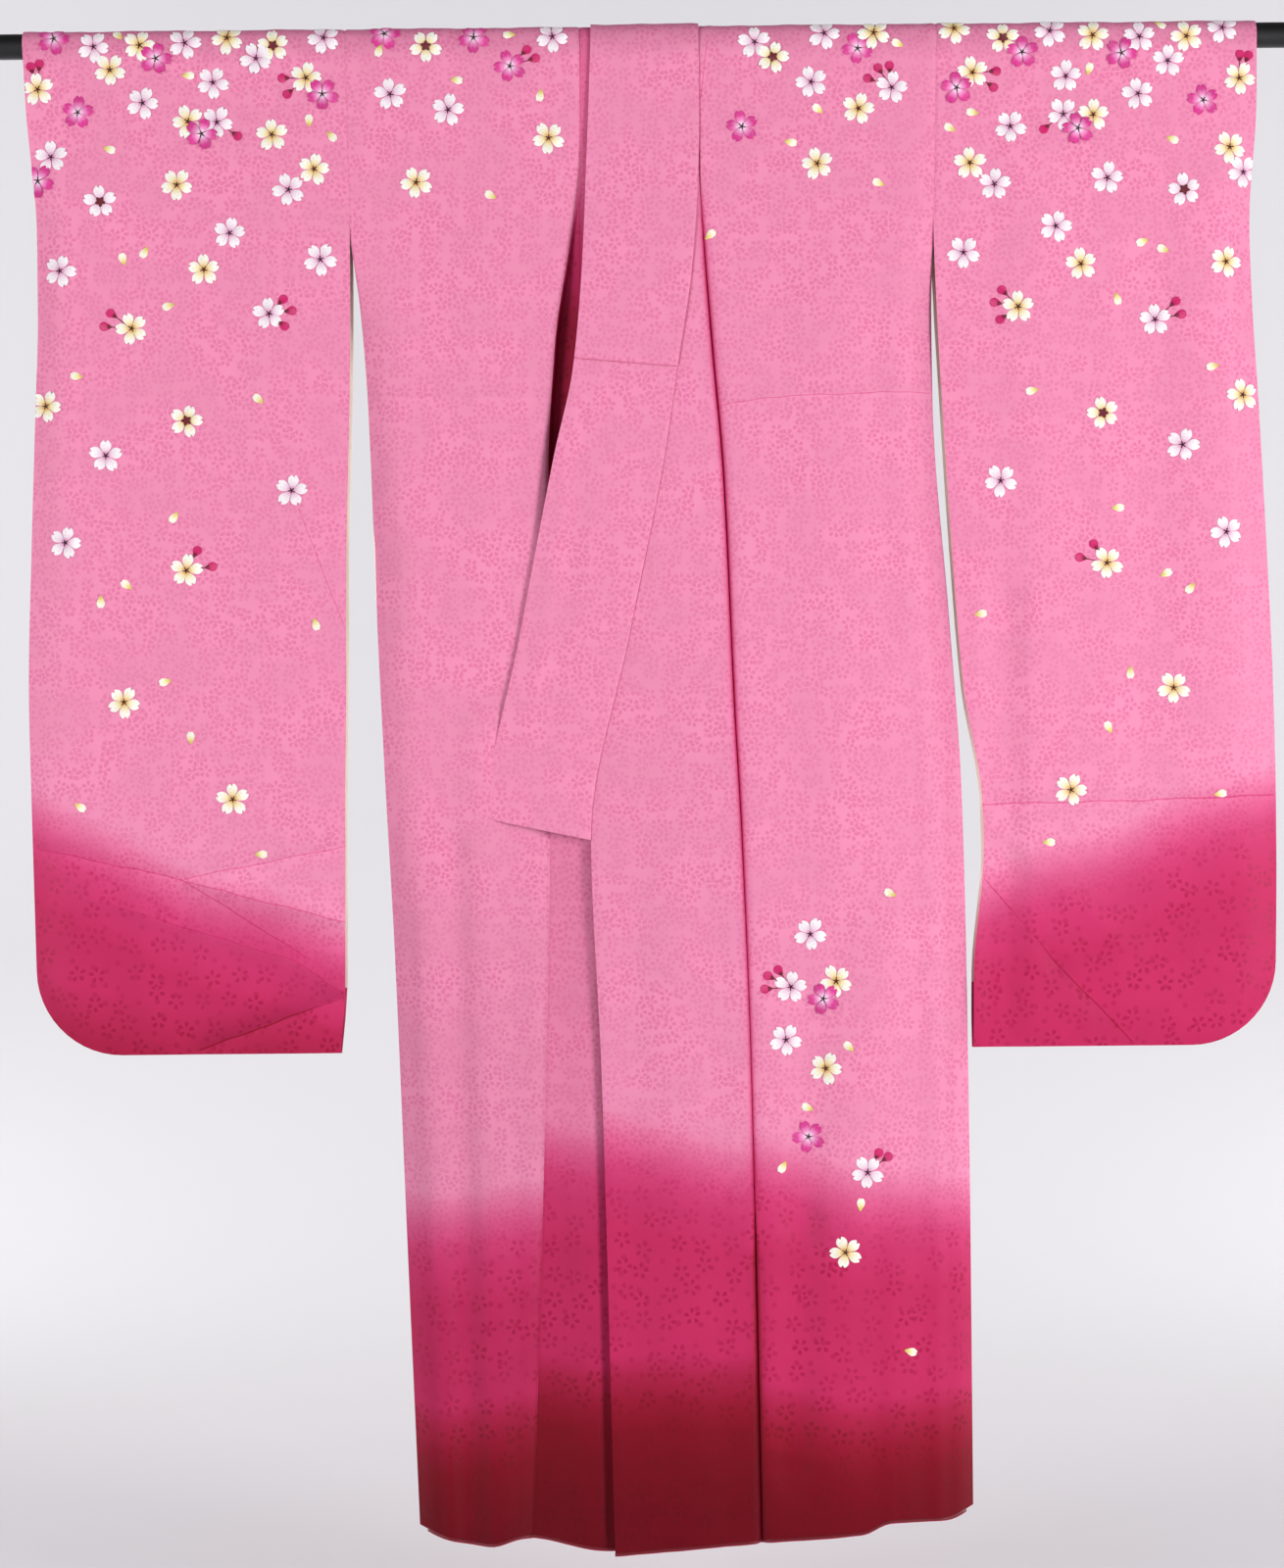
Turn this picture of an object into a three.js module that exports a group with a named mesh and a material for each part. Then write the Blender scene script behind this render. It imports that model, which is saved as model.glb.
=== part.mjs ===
// Furisode: a long-sleeved formal kimono of lined silk, hung over a plain round rod with its
// front closed left over right and its wide collar opened flat.
//
// Units are millimetres. +X runs along the rod to the wearer's left, -Y is the front and +Z is
// up. The origin is the middle of the rod's axis. A height on the cloth is given as its drop,
// the distance below that axis. "Out" is the distance of a cloth layer from the plane of the
// axis, towards the front on the front layers and towards the back on the back ones.
// Left and right are the wearer's.

import * as THREE from "three";

// ---- Driving dimensions ----

const ROD = { diameter: 28, length: 1500, sides: 32 };

const CLOTH = 1.5; // outer silk and lining together
const COLLAR_CLOTH = 1.2;
const LINING = 1.0;
const SEAM_GAP = 0.4; // between the edges of two sewn pieces
const LAYER_GAP = 0.3; // between two pieces that lie on each other

const OVER_ROD = 15.2; // middle of the body and sleeve cloth, from the rod's axis
const UNDER_COLLAR_OVER_ROD = 15.0;
const ARC_STEPS = 8; // facets of the cloth round the upper half of the rod

const SHOULDER_SEAM_DROP = 205; // where the sleeve leaves the body's edge
const SIDE_SEAM_DROP = 330; // where front and back are sewn together at the side
const CUFF_OPEN_DROP = 60; // the hand opening narrows from here
const CUFF_SEWN_DROP = 235; // and is sewn shut from here down

const NECK_BACK_DROP = 28; // back neckline below the rod's axis
const COLLAR_END_SLANT = 862 / 887; // the lower end's drop at its free edge, by that at its seam

const SLEEVE_DROP = 1122;
const SLEEVE_CORNER = 92; // radius of the rounded outer bottom corner
const SLEEVE_CUFF_REACH = 70; // width over which a sleeve rounds away from its sewn cuff edge
const SLEEVE_BOTTOM_REACH = 60; // and from its bottom seam
const FURI_SAG = 3; // the open inner edge hangs this much flatter than the middle
const FURI_REACH = 60;
const BACK_FURI_EXTRA = 2.5; // the back layer of a sleeve's open edge stands this far past the front
const LINING_WIDTH = 20; // the strip of lining that shows inside that edge
const LINING_INSET = 0.6;

const HEM_ROLL = 4.4; // diameter of the padded roll under each hem
const HEM_ROLL_END = 9; // the roll stops this far before a side seam
const HEM_ROLL_SIDES = 8;

const BACK_LEAN = 46 / 1650; // the centre back seam hangs this far to the left for each unit of drop

// Outer edges of the body: the sleeve seam, the open part below it, then the side seam.
const BODY_SIDES = [
  { drop: 0, right: -328, left: 328 },
  { drop: 205, right: -323.2, left: 323.2 },
  { drop: 300, right: -313, left: 321 },
  { drop: 400, right: -306, left: 321.5 },
  { drop: 650, right: -298, left: 338 },
  { drop: 830, right: -290.5, left: 349.5 },
  { drop: 1000, right: -282.5, left: 353 },
  { drop: 1350, right: -270.5, left: 355 },
  { drop: 1660, right: -259.5, left: 355 },
];

// Seam between the front panel of the body and the okumi, or the collar above the okumi's point.
const OKUMI_SEAMS = [
  { drop: 0, right: -67, left: 65.4 },
  { drop: 137, right: -68, left: 64.6 },
  { drop: 220, right: -78.6, left: 68.3 },
  { drop: 336, right: -97, left: 76.3 },
  { drop: 488, right: -106, left: 88 },
  { drop: 750, right: -107, left: 97.8 },
  { drop: 880, right: -107.7, left: 104 },
  { drop: 1150, right: -114.6, left: 112 },
  { drop: 1660, right: -132.6, left: 118.3 },
];

// The left side's collar: its seam, which goes on below it as the okumi's free edge, and its
// own free edge.
const COLLAR_EDGES = [
  { drop: 0, seam: 65, free: -54.5 },
  { drop: 77, seam: 65, free: -57.7 },
  { drop: 137, seam: 63.8, free: -60.5 },
  { drop: 250, seam: 55.8, free: -66 },
  { drop: 365, seam: 38.3, free: -77 },
  { drop: 463, seam: 23.2, free: -99 },
  { drop: 660, seam: -17.3, free: -138.5 },
  { drop: 887, seam: -62.2, free: -181 },
  { drop: 1150, seam: -52.8, free: -181 },
  { drop: 1680, seam: -42.7, free: -181 },
];

// Cuff and open inner edge of each sleeve, below the shoulder seam.
const SLEEVE_EDGES = [
  { drop: 0, cuffRight: -684, furiRight: -328, cuffLeft: 683, furiLeft: 328 },
  { drop: 80, cuffRight: -680, furiRight: -326.1, cuffLeft: 682, furiLeft: 326.1 },
  { drop: 205, cuffRight: -672, furiRight: -323.2, cuffLeft: 675.5, furiLeft: 323.2 },
  { drop: 300, cuffRight: -672, furiRight: -323.6, cuffLeft: 678, furiLeft: 326 },
  { drop: 400, cuffRight: -675.5, furiRight: -325.5, cuffLeft: 683.5, furiLeft: 331 },
  { drop: 560, cuffRight: -681.5, furiRight: -330.5, cuffLeft: 691, furiLeft: 340 },
  { drop: 720, cuffRight: -686, furiRight: -332.5, cuffLeft: 697, furiLeft: 352 },
  { drop: 850, cuffRight: -684, furiRight: -335, cuffLeft: 699, furiLeft: 372 },
  { drop: 900, cuffRight: -683, furiRight: -335.3, cuffLeft: 699, furiLeft: 373 },
  { drop: 1040, cuffRight: -680, furiRight: -336.8, cuffLeft: 697, furiLeft: 361 },
  { drop: 1122, cuffRight: -678, furiRight: -343, cuffLeft: 695, furiLeft: 360 },
];

// How far out each layer hangs, away from its edges.
const LAYERS = [
  { drop: 0, under: 15.2, top: 15.2, back: 15.2, sleeve: 15.2 },
  { drop: 60, under: 15.4, top: 16.4, back: 15.2, sleeve: 15.2 },
  { drop: 137, under: 15.8, top: 19, back: 15.4, sleeve: 15.2 },
  { drop: 205, under: 16.4, top: 22, back: 15.8, sleeve: 15.2 },
  { drop: 300, under: 17.5, top: 26, back: 17, sleeve: 14.5 },
  { drop: 500, under: 21, top: 31, back: 19, sleeve: 13.2 },
  { drop: 880, under: 25, top: 36, back: 22, sleeve: 11.5 },
  { drop: 1250, under: 29, top: 40, back: 24, sleeve: 11 },
  { drop: 1680, under: 32, top: 44, back: 26, sleeve: 11 },
];

// Lower edges, along X.
const UNDER_HEM = [
  { x: -260, drop: 1650 },
  { x: -181, drop: 1665 },
  { x: -142, drop: 1657 },
  { x: -49, drop: 1673 },
  { x: 62, drop: 1676 },
];
const TOP_HEM = [
  { x: -43, drop: 1675 },
  { x: 118, drop: 1662 },
  { x: 229, drop: 1654 },
  { x: 262, drop: 1641 },
  { x: 321, drop: 1640 },
  { x: 355, drop: 1634 },
];
const BACK_HEM = [
  { x: -260, drop: 1650 },
  { x: 48, drop: 1650 },
  { x: 355, drop: 1634 },
];

// Folds: a soft ridge, or a trough where height is negative, along a straight line in the cloth.
const BODY_FOLDS = [
  { x0: -205, drop0: 900, x1: -199, drop1: 1660, height: 5, reach: 42 },
  { x0: -158, drop0: 860, x1: -170, drop1: 1660, height: -4, reach: 34 },
  { x0: 190, drop0: 420, x1: 215, drop1: 1640, height: 4, reach: 60 },
  { x0: 137, drop0: 900, x1: 150, drop1: 1500, height: -4, reach: 40 },
  { x0: 300, drop0: 700, x1: 305, drop1: 1640, height: -4, reach: 45 },
];
const BACK_FOLDS = [
  { x0: -150, drop0: 700, x1: -130, drop1: 1650, height: 5, reach: 60 },
  { x0: -60, drop0: 900, x1: -40, drop1: 1650, height: -4, reach: 50 },
  { x0: 190, drop0: 600, x1: 220, drop1: 1640, height: 5, reach: 60 },
  { x0: 110, drop0: 1000, x1: 120, drop1: 1640, height: -4, reach: 50 },
];
const SLEEVE_FOLDS = [
  { x0: -514, drop0: 929, x1: -345, drop1: 985, height: 4, reach: 38 },
  { x0: -600, drop0: 950, x1: -345, drop1: 1050, height: -4, reach: 40 },
  { x0: -382, drop0: 519, x1: -333, drop1: 660, height: 3, reach: 40 },
  { x0: 372, drop0: 852, x1: 690, drop1: 846, height: 3, reach: 36 },
  { x0: 373, drop0: 933, x1: 530, drop1: 1115, height: -4, reach: 42 },
  { x0: 395, drop0: 760, x1: 392, drop1: 1100, height: -3, reach: 36 },
];

// Where the grids' columns stand, as shares of a panel's width from its outer edge.
const PANEL_COLUMNS = [0, 0.05, 0.16, 0.34, 0.52, 0.72, 0.95, 1];
const CENTRE_COLUMNS = 2; // more columns, from the neck opening's edge to the centre back seam
const OKUMI_COLUMNS = [0, 0.12, 0.5, 0.88, 1];
const COLLAR_COLUMNS = [0, 0.1, 0.4, 0.7, 1];
const CORNER_COLUMNS = 4; // round a sleeve's corner
const SLEEVE_COLUMNS = 5; // over the rest of a sleeve

// The front pieces share their rows, so that they meet all along their seams.
const ROW_DROP = 52.2;
const FRONT_ROWS = 32;
const OKUMI_POINT_ROW = 3; // where the okumi begins, at its pointed top
const OVER_COLLAR_END_ROW = 7;
const COLLAR_END_ROW = 17; // at its seam
const BACK_ROWS = 18;
const NECK_ROWS = 2; // on the back, above the neckline
const SLEEVE_ROWS = { front: 20, back: 16 };
const LINING_ROWS = [3, 16]; // first and last, of the sleeve's back rows

// ---- Colours ----

const silk = new THREE.MeshStandardMaterial({ color: 0xe88bb0, roughness: 0.6, metalness: 0 });
const hemSilk = new THREE.MeshStandardMaterial({ color: 0x8c1238, roughness: 0.6, metalness: 0 });
const liningSilk = new THREE.MeshStandardMaterial({ color: 0xf4ece0, roughness: 0.6, metalness: 0 });
const blackSteel = new THREE.MeshStandardMaterial({ color: 0x101013, roughness: 0.3, metalness: 0 });

// ---- Shape helpers ----

// A smooth curve through one column of a table. It turns only at the rows, so it never
// overshoots them.
function curve(rows, column, along = "drop") {
  const at = rows.map((row) => row[along]);
  const value = rows.map((row) => row[column]);
  const last = rows.length - 1;
  const slope = (i) => (value[i + 1] - value[i]) / (at[i + 1] - at[i]);
  const tangent = value.map((_, i) => {
    if (i === 0 || i === last) return slope(Math.min(i, last - 1));
    const [before, after] = [slope(i - 1), slope(i)];
    return before * after > 0 ? (2 * before * after) / (before + after) : 0;
  });
  return (x) => {
    const clamped = THREE.MathUtils.clamp(x, at[0], at[last]);
    let i = 0;
    while (i < last - 1 && clamped > at[i + 1]) i += 1;
    const span = at[i + 1] - at[i];
    const t = (clamped - at[i]) / span;
    const rise = (3 - 2 * t) * t * t;
    const start = t * (1 - t) * (1 - t) * span * tangent[i];
    const end = t * t * (t - 1) * span * tangent[i + 1];
    return value[i] * (1 - rise) + value[i + 1] * rise + start + end;
  };
}

const { lerp, smoothstep } = THREE.MathUtils;
const countTo = (last) => Array.from({ length: last + 1 }, (_, i) => i);

// Drops between which each form grows from nothing to full.
const GROWS = {
  curl: [60, 250],
  underSwell: [100, 400],
  valley: [100, 300],
  furiPast: [SHOULDER_SEAM_DROP, 260],
  furiSag: [SHOULDER_SEAM_DROP, 400],
  cuffSeam: [CUFF_OPEN_DROP, CUFF_SEWN_DROP],
  sideSeam: [SHOULDER_SEAM_DROP, SIDE_SEAM_DROP],
};
const grown = (form, drop) => smoothstep(drop, ...GROWS[form]);

// 0 at an edge, and 1 from `reach` inwards, as a layer rounds away from its seam.
function roundOff(distance, reach) {
  return Math.sin((Math.PI / 2) * THREE.MathUtils.clamp(distance / reach, 0, 1));
}

function foldHeight(folds, x, drop) {
  let sum = 0;
  for (const fold of folds) {
    const [dx, dd] = [fold.x1 - fold.x0, fold.drop1 - fold.drop0];
    const along = ((x - fold.x0) * dx + (drop - fold.drop0) * dd) / (dx * dx + dd * dd);
    const t = THREE.MathUtils.clamp(along, 0, 1);
    const away = Math.hypot(x - fold.x0 - t * dx, drop - fold.drop0 - t * dd) / fold.reach;
    if (away < 1) sum += fold.height * (1 - away * away) ** 2;
  }
  return sum;
}

// A closed wall of cloth through a grid of points, which lie in its middle. Columns run along
// +X and rows from the front hem over the shoulder to the back hem. The thickness is laid off
// square to X, so a wall's edges stay in line with its seams. `isCloth` leaves cells out.
function clothWall(points, thickness, isCloth = () => true) {
  const rows = points.length;
  const columns = points[0].length;
  const normals = points.map((row) => row.map(() => new THREE.Vector3()));
  const hasCloth = (c, r) => c >= 0 && r >= 0 && c < columns - 1 && r < rows - 1 && isCloth(c, r);
  const cells = [];
  for (let r = 0; r < rows - 1; r += 1) {
    for (let c = 0; c < columns - 1; c += 1) {
      if (!hasCloth(c, r)) continue;
      cells.push([c, r]);
      const rising = points[r + 1][c + 1].clone().sub(points[r][c]);
      const falling = points[r + 1][c].clone().sub(points[r][c + 1]);
      const normal = rising.cross(falling);
      for (const [i, j] of [[c, r], [c + 1, r], [c + 1, r + 1], [c, r + 1]]) normals[j][i].add(normal);
    }
  }

  const positions = [];
  const indexOf = new Map();
  const vertex = (c, r, side) => {
    const key = `${c},${r},${side}`;
    if (!indexOf.has(key)) {
      const offset = normals[r][c].clone().setX(0).normalize().multiplyScalar((side * thickness) / 2);
      const point = points[r][c].clone().add(offset);
      indexOf.set(key, positions.length / 3);
      positions.push(point.x, point.y, point.z);
    }
    return indexOf.get(key);
  };
  const faces = [];
  const quad = (a, b, c, d) => faces.push(a, b, c, a, c, d);
  for (const [c, r] of cells) {
    const corners = [[c, r], [c + 1, r], [c + 1, r + 1], [c, r + 1]];
    const neighbours = [[c, r - 1], [c + 1, r], [c, r + 1], [c - 1, r]];
    quad(...corners.map(([i, j]) => vertex(i, j, 1)));
    const [a, b, d, e] = corners.map(([i, j]) => vertex(i, j, -1));
    quad(a, e, d, b); // the same diagonal as outside
    neighbours.forEach(([i, j], k) => {
      if (hasCloth(i, j)) return;
      const [from, to] = [corners[k], corners[(k + 1) % 4]];
      quad(vertex(...to, 1), vertex(...from, 1), vertex(...from, -1), vertex(...to, -1));
    });
  }
  const geometry = new THREE.BufferGeometry();
  geometry.setAttribute("position", new THREE.Float32BufferAttribute(positions, 3));
  geometry.setIndex(faces);
  geometry.computeVertexNormals();
  return geometry;
}

// Rows of a piece that hangs over the rod, from its lower front edge up. The front pieces'
// rows are numbered down from the rod, and the others hold a share of the piece's drop.
const numberedRows = (first, last) =>
  countTo(last - first).map((i) => ({ face: "front", number: last - i }));
const frontRows = (count) => countTo(count).map((i) => ({ face: "front", share: 1 - i / count }));
const arcAngle = (step) => (Math.PI * step) / ARC_STEPS;
const rodRows = countTo(ARC_STEPS - 2).map((i) => ({ face: "rod", angle: arcAngle(i + 1) }));
const neckRows = countTo(NECK_ROWS - 1).map((i) => ({ face: "neck", share: i / NECK_ROWS }));
const backRows = (count) => countTo(count).map((i) => ({ face: "back", share: i / count }));

function overRod(x, radius, angle) {
  return new THREE.Vector3(x, -radius * Math.cos(angle), radius * Math.sin(angle));
}

function frontPoint(x, out, drop) {
  return new THREE.Vector3(x, -out, -drop);
}

function backPoint(x, out, drop) {
  return new THREE.Vector3(x, out, -drop);
}

// ---- The garment's lines, as functions of drop or x ----

const side = { right: curve(BODY_SIDES, "right"), left: curve(BODY_SIDES, "left") };
const okumiSeam = { right: curve(OKUMI_SEAMS, "right"), left: curve(OKUMI_SEAMS, "left") };
const collarSeamLeft = curve(COLLAR_EDGES, "seam");
const collarFreeLeft = curve(COLLAR_EDGES, "free");
const layer = {
  under: curve(LAYERS, "under"),
  top: curve(LAYERS, "top"),
  back: curve(LAYERS, "back"),
  sleeve: curve(LAYERS, "sleeve"),
};
const hem = {
  under: curve(UNDER_HEM, "drop", "x"),
  top: curve(TOP_HEM, "drop", "x"),
  back: curve(BACK_HEM, "drop", "x"),
};

// The right side's okumi and collar have the left ones' widths, on from their own seam.
const collarSeam = {
  left: collarSeamLeft,
  right: (drop) => okumiSeam.right(drop) + okumiSeam.left(drop) - collarSeamLeft(drop),
};
const collarFree = {
  left: collarFreeLeft,
  right: (drop) => collarSeam.right(drop) + collarSeamLeft(drop) - collarFreeLeft(drop),
};

const centreBack = (drop) => BACK_LEAN * drop;

// The side edges are as far out as the sleeve down to the shoulder seam, and meet at the side
// seam, half a cloth and half a gap out.
const SEWN_OUT = CLOTH / 2 + SEAM_GAP / 2;
const sideOut = (drop) => lerp(OVER_ROD, SEWN_OUT, grown("sideSeam", drop));
const SIDE_REACH = 90; // width over which a panel rounds away from its side seam

function fromSide(flat, x, drop, edge) {
  return lerp(sideOut(drop), flat, roundOff(Math.abs(x - edge), SIDE_REACH));
}

// The right front panel's inner edge curls back, and the okumi behind it comes forward again.
const CURL = 5;
const CURL_REACH = 16;
const UNDER_SWELL = 2;
const UNDER_SWELL_REACH = 60;
const curl = (drop) => CURL * grown("curl", drop);

function rightPanelOut(x, drop) {
  const flat = fromSide(layer.under(drop), x, drop, side.right(drop));
  const curled = curl(drop) * (1 - roundOff(okumiSeam.right(drop) - x, CURL_REACH));
  return flat - curled + foldHeight(BODY_FOLDS, x, drop);
}

function underOut(x, drop) {
  const forward = smoothstep(x - okumiSeam.right(drop), 0, UNDER_SWELL_REACH);
  const swell = UNDER_SWELL * grown("underSwell", drop);
  return layer.under(drop) - curl(drop) + (curl(drop) + swell) * forward;
}

// The left front panel dips beside the okumi that is pressed over its edge.
const VALLEY = 3;
const VALLEY_REACH = 20;

function leftPanelOut(x, drop) {
  const flat = fromSide(layer.top(drop), x, drop, side.left(drop));
  const nearSeam = 1 - roundOff(x - okumiSeam.left(drop), VALLEY_REACH);
  const valley = VALLEY * grown("valley", drop) * nearSeam;
  return flat - valley + foldHeight(BODY_FOLDS, x, drop);
}

// The left okumi turns back a little at its free edge, or under the collar that is sewn on it.
const OKUMI_TURN = 1.5;
const OKUMI_TURN_REACH = 12;

function leftOkumiOut(x, drop) {
  return layer.top(drop) - OKUMI_TURN * (1 - roundOff(x - collarSeam.left(drop), OKUMI_TURN_REACH));
}

// The left collar stands on the okumi at its seam and sinks towards the right front at its free
// edge.
const COLLAR_ON_OKUMI = 1.3;
const COLLAR_LIFT = [
  { drop: 0, lift: 1.5 },
  { drop: 60, lift: 2.2 },
  { drop: 137, lift: 3.2 },
  { drop: 300, lift: 6 },
  { drop: 488, lift: 5 },
  { drop: 900, lift: 4 },
];
const collarLift = curve(COLLAR_LIFT, "lift");

function leftCollarOut(x, drop) {
  const [free, seam] = [collarFree.left(drop), collarSeam.left(drop)];
  const atFree = layer.under(drop) + collarLift(drop);
  const atSeam = layer.top(drop) + COLLAR_ON_OKUMI;
  return lerp(atFree, atSeam, roundOff(x - free, seam - free));
}

function backOut(x, drop, edge) {
  return fromSide(layer.back(drop), x, drop, edge) + foldHeight(BACK_FOLDS, x, drop);
}

// ---- Pieces ----

const mirrorOf = (sideName) => (sideName === "left" ? 1 : -1);

// Shares run outwards or inwards on a piece, and its grid's columns always along +X.
const alongX = (shares, isReversed) => (isReversed ? [...shares].reverse() : shares);

// Where a hanging panel's wall ends, above its hem roll.
const NOMINAL_HEM = 1660;
const wallEnd = (hemAt, xAt) => hemAt(xAt(NOMINAL_HEM)) - HEM_ROLL - SEAM_GAP;

// The drop of a numbered row: level near the rod, and along the hem at the wall's end.
function rowDrop(number, end) {
  return number * ROW_DROP + (end - FRONT_ROWS * ROW_DROP) * (number / FRONT_ROWS) ** 4;
}

// One body length: front panel, shoulder and back panel.
function bodyPanel(sideName) {
  const mirror = mirrorOf(sideName);
  const frontOut = { left: leftPanelOut, right: rightPanelOut }[sideName];
  const frontHem = { left: hem.top, right: hem.under }[sideName];
  const halfGap = (mirror * SEAM_GAP) / 2;
  const sideAt = side[sideName];
  const seamAt = (drop) => okumiSeam[sideName](drop) + halfGap;
  const neckAt = (drop) => centreBack(drop) + seamAt(0);
  const middleAt = (drop) => centreBack(drop) + halfGap;

  const place = ({ share, toCentre }, row) => {
    if (row.face === "rod") {
      return overRod(lerp(sideAt(0), seamAt(0), share), OVER_ROD, row.angle);
    }
    if (row.face === "front") {
      const xAt = (drop) => lerp(sideAt(drop), seamAt(drop), share);
      const drop = rowDrop(row.number, wallEnd(frontHem, xAt));
      return frontPoint(xAt(drop), frontOut(xAt(drop), drop), drop);
    }
    const xAt = (drop) => lerp(lerp(sideAt(drop), neckAt(drop), share), middleAt(drop), toCentre);
    const below = lerp(NECK_BACK_DROP, wallEnd(hem.back, xAt), row.share);
    const drop = row.face === "neck" ? NECK_BACK_DROP * row.share : below;
    return backPoint(xAt(drop), backOut(xAt(drop), drop, sideAt(drop)), drop);
  };

  const outer = PANEL_COLUMNS.map((share) => ({ share, toCentre: 0 }));
  const centre = countTo(CENTRE_COLUMNS).slice(1).map((i) => ({ share: 1, toCentre: i / CENTRE_COLUMNS }));
  const columns = alongX([...outer, ...centre], sideName === "left");
  const rows = [...numberedRows(0, FRONT_ROWS), ...rodRows, ...neckRows, ...backRows(BACK_ROWS)];
  const points = rows.map((row) => columns.map((column) => place(column, row)));
  const isBesideNeck = (c) => Math.max(columns[c].toCentre, columns[c + 1].toCentre) === 0;
  return clothWall(points, CLOTH, (c, r) => isBesideNeck(c) || rows[r].face === "back");
}

// The middle of one sleeve length, from its bottom seam over the shoulder and back down to it.
function sleevePoints(sideName) {
  const mirror = mirrorOf(sideName);
  const name = sideName === "left" ? "Left" : "Right";
  const cuff = curve(SLEEVE_EDGES, `cuff${name}`);
  const freeFuri = curve(SLEEVE_EDGES, `furi${name}`);
  const furi = (drop) => (drop < SHOULDER_SEAM_DROP ? side[sideName] : freeFuri)(drop);
  const width = Math.abs(cuff(SLEEVE_DROP) - furi(SLEEVE_DROP));
  const inner = (drop) => furi(drop) + (mirror * SEAM_GAP) / 2;
  const past = (drop) => mirror * BACK_FURI_EXTRA * grown("furiPast", drop);

  const bottom = (share) => {
    const inCorner = Math.max(0, SLEEVE_CORNER - share * width);
    return SLEEVE_DROP - SLEEVE_CORNER + Math.sqrt(SLEEVE_CORNER ** 2 - inCorner ** 2);
  };
  const outAt = (share, x, drop) => {
    const atCuff = lerp(1, roundOff(Math.abs(x - cuff(drop)), SLEEVE_CUFF_REACH), grown("cuffSeam", drop));
    const atBottom = roundOff(bottom(share) - drop, SLEEVE_BOTTOM_REACH);
    const nearFuri = 1 - roundOff(Math.abs(x - furi(drop)), FURI_REACH);
    const sag = FURI_SAG * grown("furiSag", drop) * nearFuri;
    const full = layer.sleeve(drop) - sag + foldHeight(SLEEVE_FOLDS, x, drop);
    return lerp(SEWN_OUT, full, atCuff * atBottom);
  };
  const place = (share, row) => {
    if (row.face === "rod") return overRod(lerp(cuff(0), inner(0), share), OVER_ROD, row.angle);
    const drop = row.share * bottom(share);
    const isBack = row.face === "back";
    const x = lerp(cuff(drop), isBack ? inner(drop) - past(drop) : inner(drop), share);
    const toPoint = isBack ? backPoint : frontPoint;
    return toPoint(x, outAt(share, x, drop), drop);
  };

  const cornerShares = countTo(CORNER_COLUMNS - 1).map((i) => {
    const angle = (Math.PI / 2) * (i / CORNER_COLUMNS);
    return (SLEEVE_CORNER * (1 - Math.cos(angle))) / width;
  });
  const [restStart, restEnd] = [SLEEVE_CORNER / width, 1 - LINING_WIDTH / width];
  const restShares = countTo(SLEEVE_COLUMNS).map((i) => lerp(restStart, restEnd, i / SLEEVE_COLUMNS));
  const columns = alongX([...cornerShares, ...restShares, 1], sideName === "left");
  const rows = [...frontRows(SLEEVE_ROWS.front), ...rodRows, ...backRows(SLEEVE_ROWS.back)];
  return rows.map((row) => columns.map((share) => place(share, row)));
}

const sleeve = (sideName) => clothWall(sleevePoints(sideName), CLOTH);

// The strip of lining that shows just inside a sleeve's back layer, along its open edge.
function sleeveLining(sideName) {
  const mirror = mirrorOf(sideName);
  const inwards = new THREE.Vector3(0, -(CLOTH + LINING) / 2 - LAYER_GAP, 0);
  const inset = new THREE.Vector3(mirror * LINING_INSET, 0, 0);
  const backs = sleevePoints(sideName).slice(-SLEEVE_ROWS.back - 1).slice(...LINING_ROWS);
  const points = backs.map((row) => {
    const edge = sideName === "left" ? row.slice(0, 2) : row.slice(-2);
    for (const point of edge) point.add(inwards);
    edge.at(sideName === "left" ? 0 : -1).add(inset);
    return edge;
  });
  return clothWall(points, LINING);
}

function okumi(sideName) {
  const outAt = { left: leftOkumiOut, right: underOut }[sideName];
  const hemAt = { left: hem.top, right: hem.under }[sideName];
  const halfGap = (mirrorOf(sideName) * SEAM_GAP) / 2;
  const freeAt = (drop) => collarSeam[sideName](drop) + halfGap;
  const seamAt = (drop) => okumiSeam[sideName](drop) - halfGap;
  const columns = alongX(OKUMI_COLUMNS, sideName === "right");
  const place = (share, row) => {
    const xAt = (drop) => lerp(freeAt(drop), seamAt(drop), share);
    const drop = rowDrop(row.number, wallEnd(hemAt, xAt));
    return frontPoint(xAt(drop), outAt(xAt(drop), drop), drop);
  };
  const rows = numberedRows(OKUMI_POINT_ROW, FRONT_ROWS);
  return clothWall(rows.map((row) => columns.map((share) => place(share, row))), CLOTH);
}

// A collar strip from its slanting lower end over the rod to the back neckline. `raise` lays it
// on the pieces below it.
function collarStrip({ sideName, outAt, raise, endRow }) {
  const halfGap = (mirrorOf(sideName) * SEAM_GAP) / 2;
  const xAt = (share, drop) =>
    lerp(collarFree[sideName](drop), collarSeam[sideName](drop) - halfGap, share);
  const radius = UNDER_COLLAR_OVER_ROD + raise;
  const place = (share, row) => {
    if (row.face === "rod") return overRod(xAt(share, 0), radius, row.angle);
    if (row.face === "back") {
      return backPoint(xAt(share, 0), radius, row.share * (NECK_BACK_DROP - SEAM_GAP));
    }
    const drop = row.number * ROW_DROP * lerp(COLLAR_END_SLANT, 1, share);
    const x = xAt(share, drop);
    return frontPoint(x, drop > 0 ? outAt(x, drop) : radius, drop);
  };
  const columns = alongX(COLLAR_COLUMNS, sideName === "right");
  const rows = [...numberedRows(0, endRow), ...rodRows, ...backRows(1)];
  return clothWall(rows.map((row) => columns.map((share) => place(share, row))), COLLAR_CLOTH);
}

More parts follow.
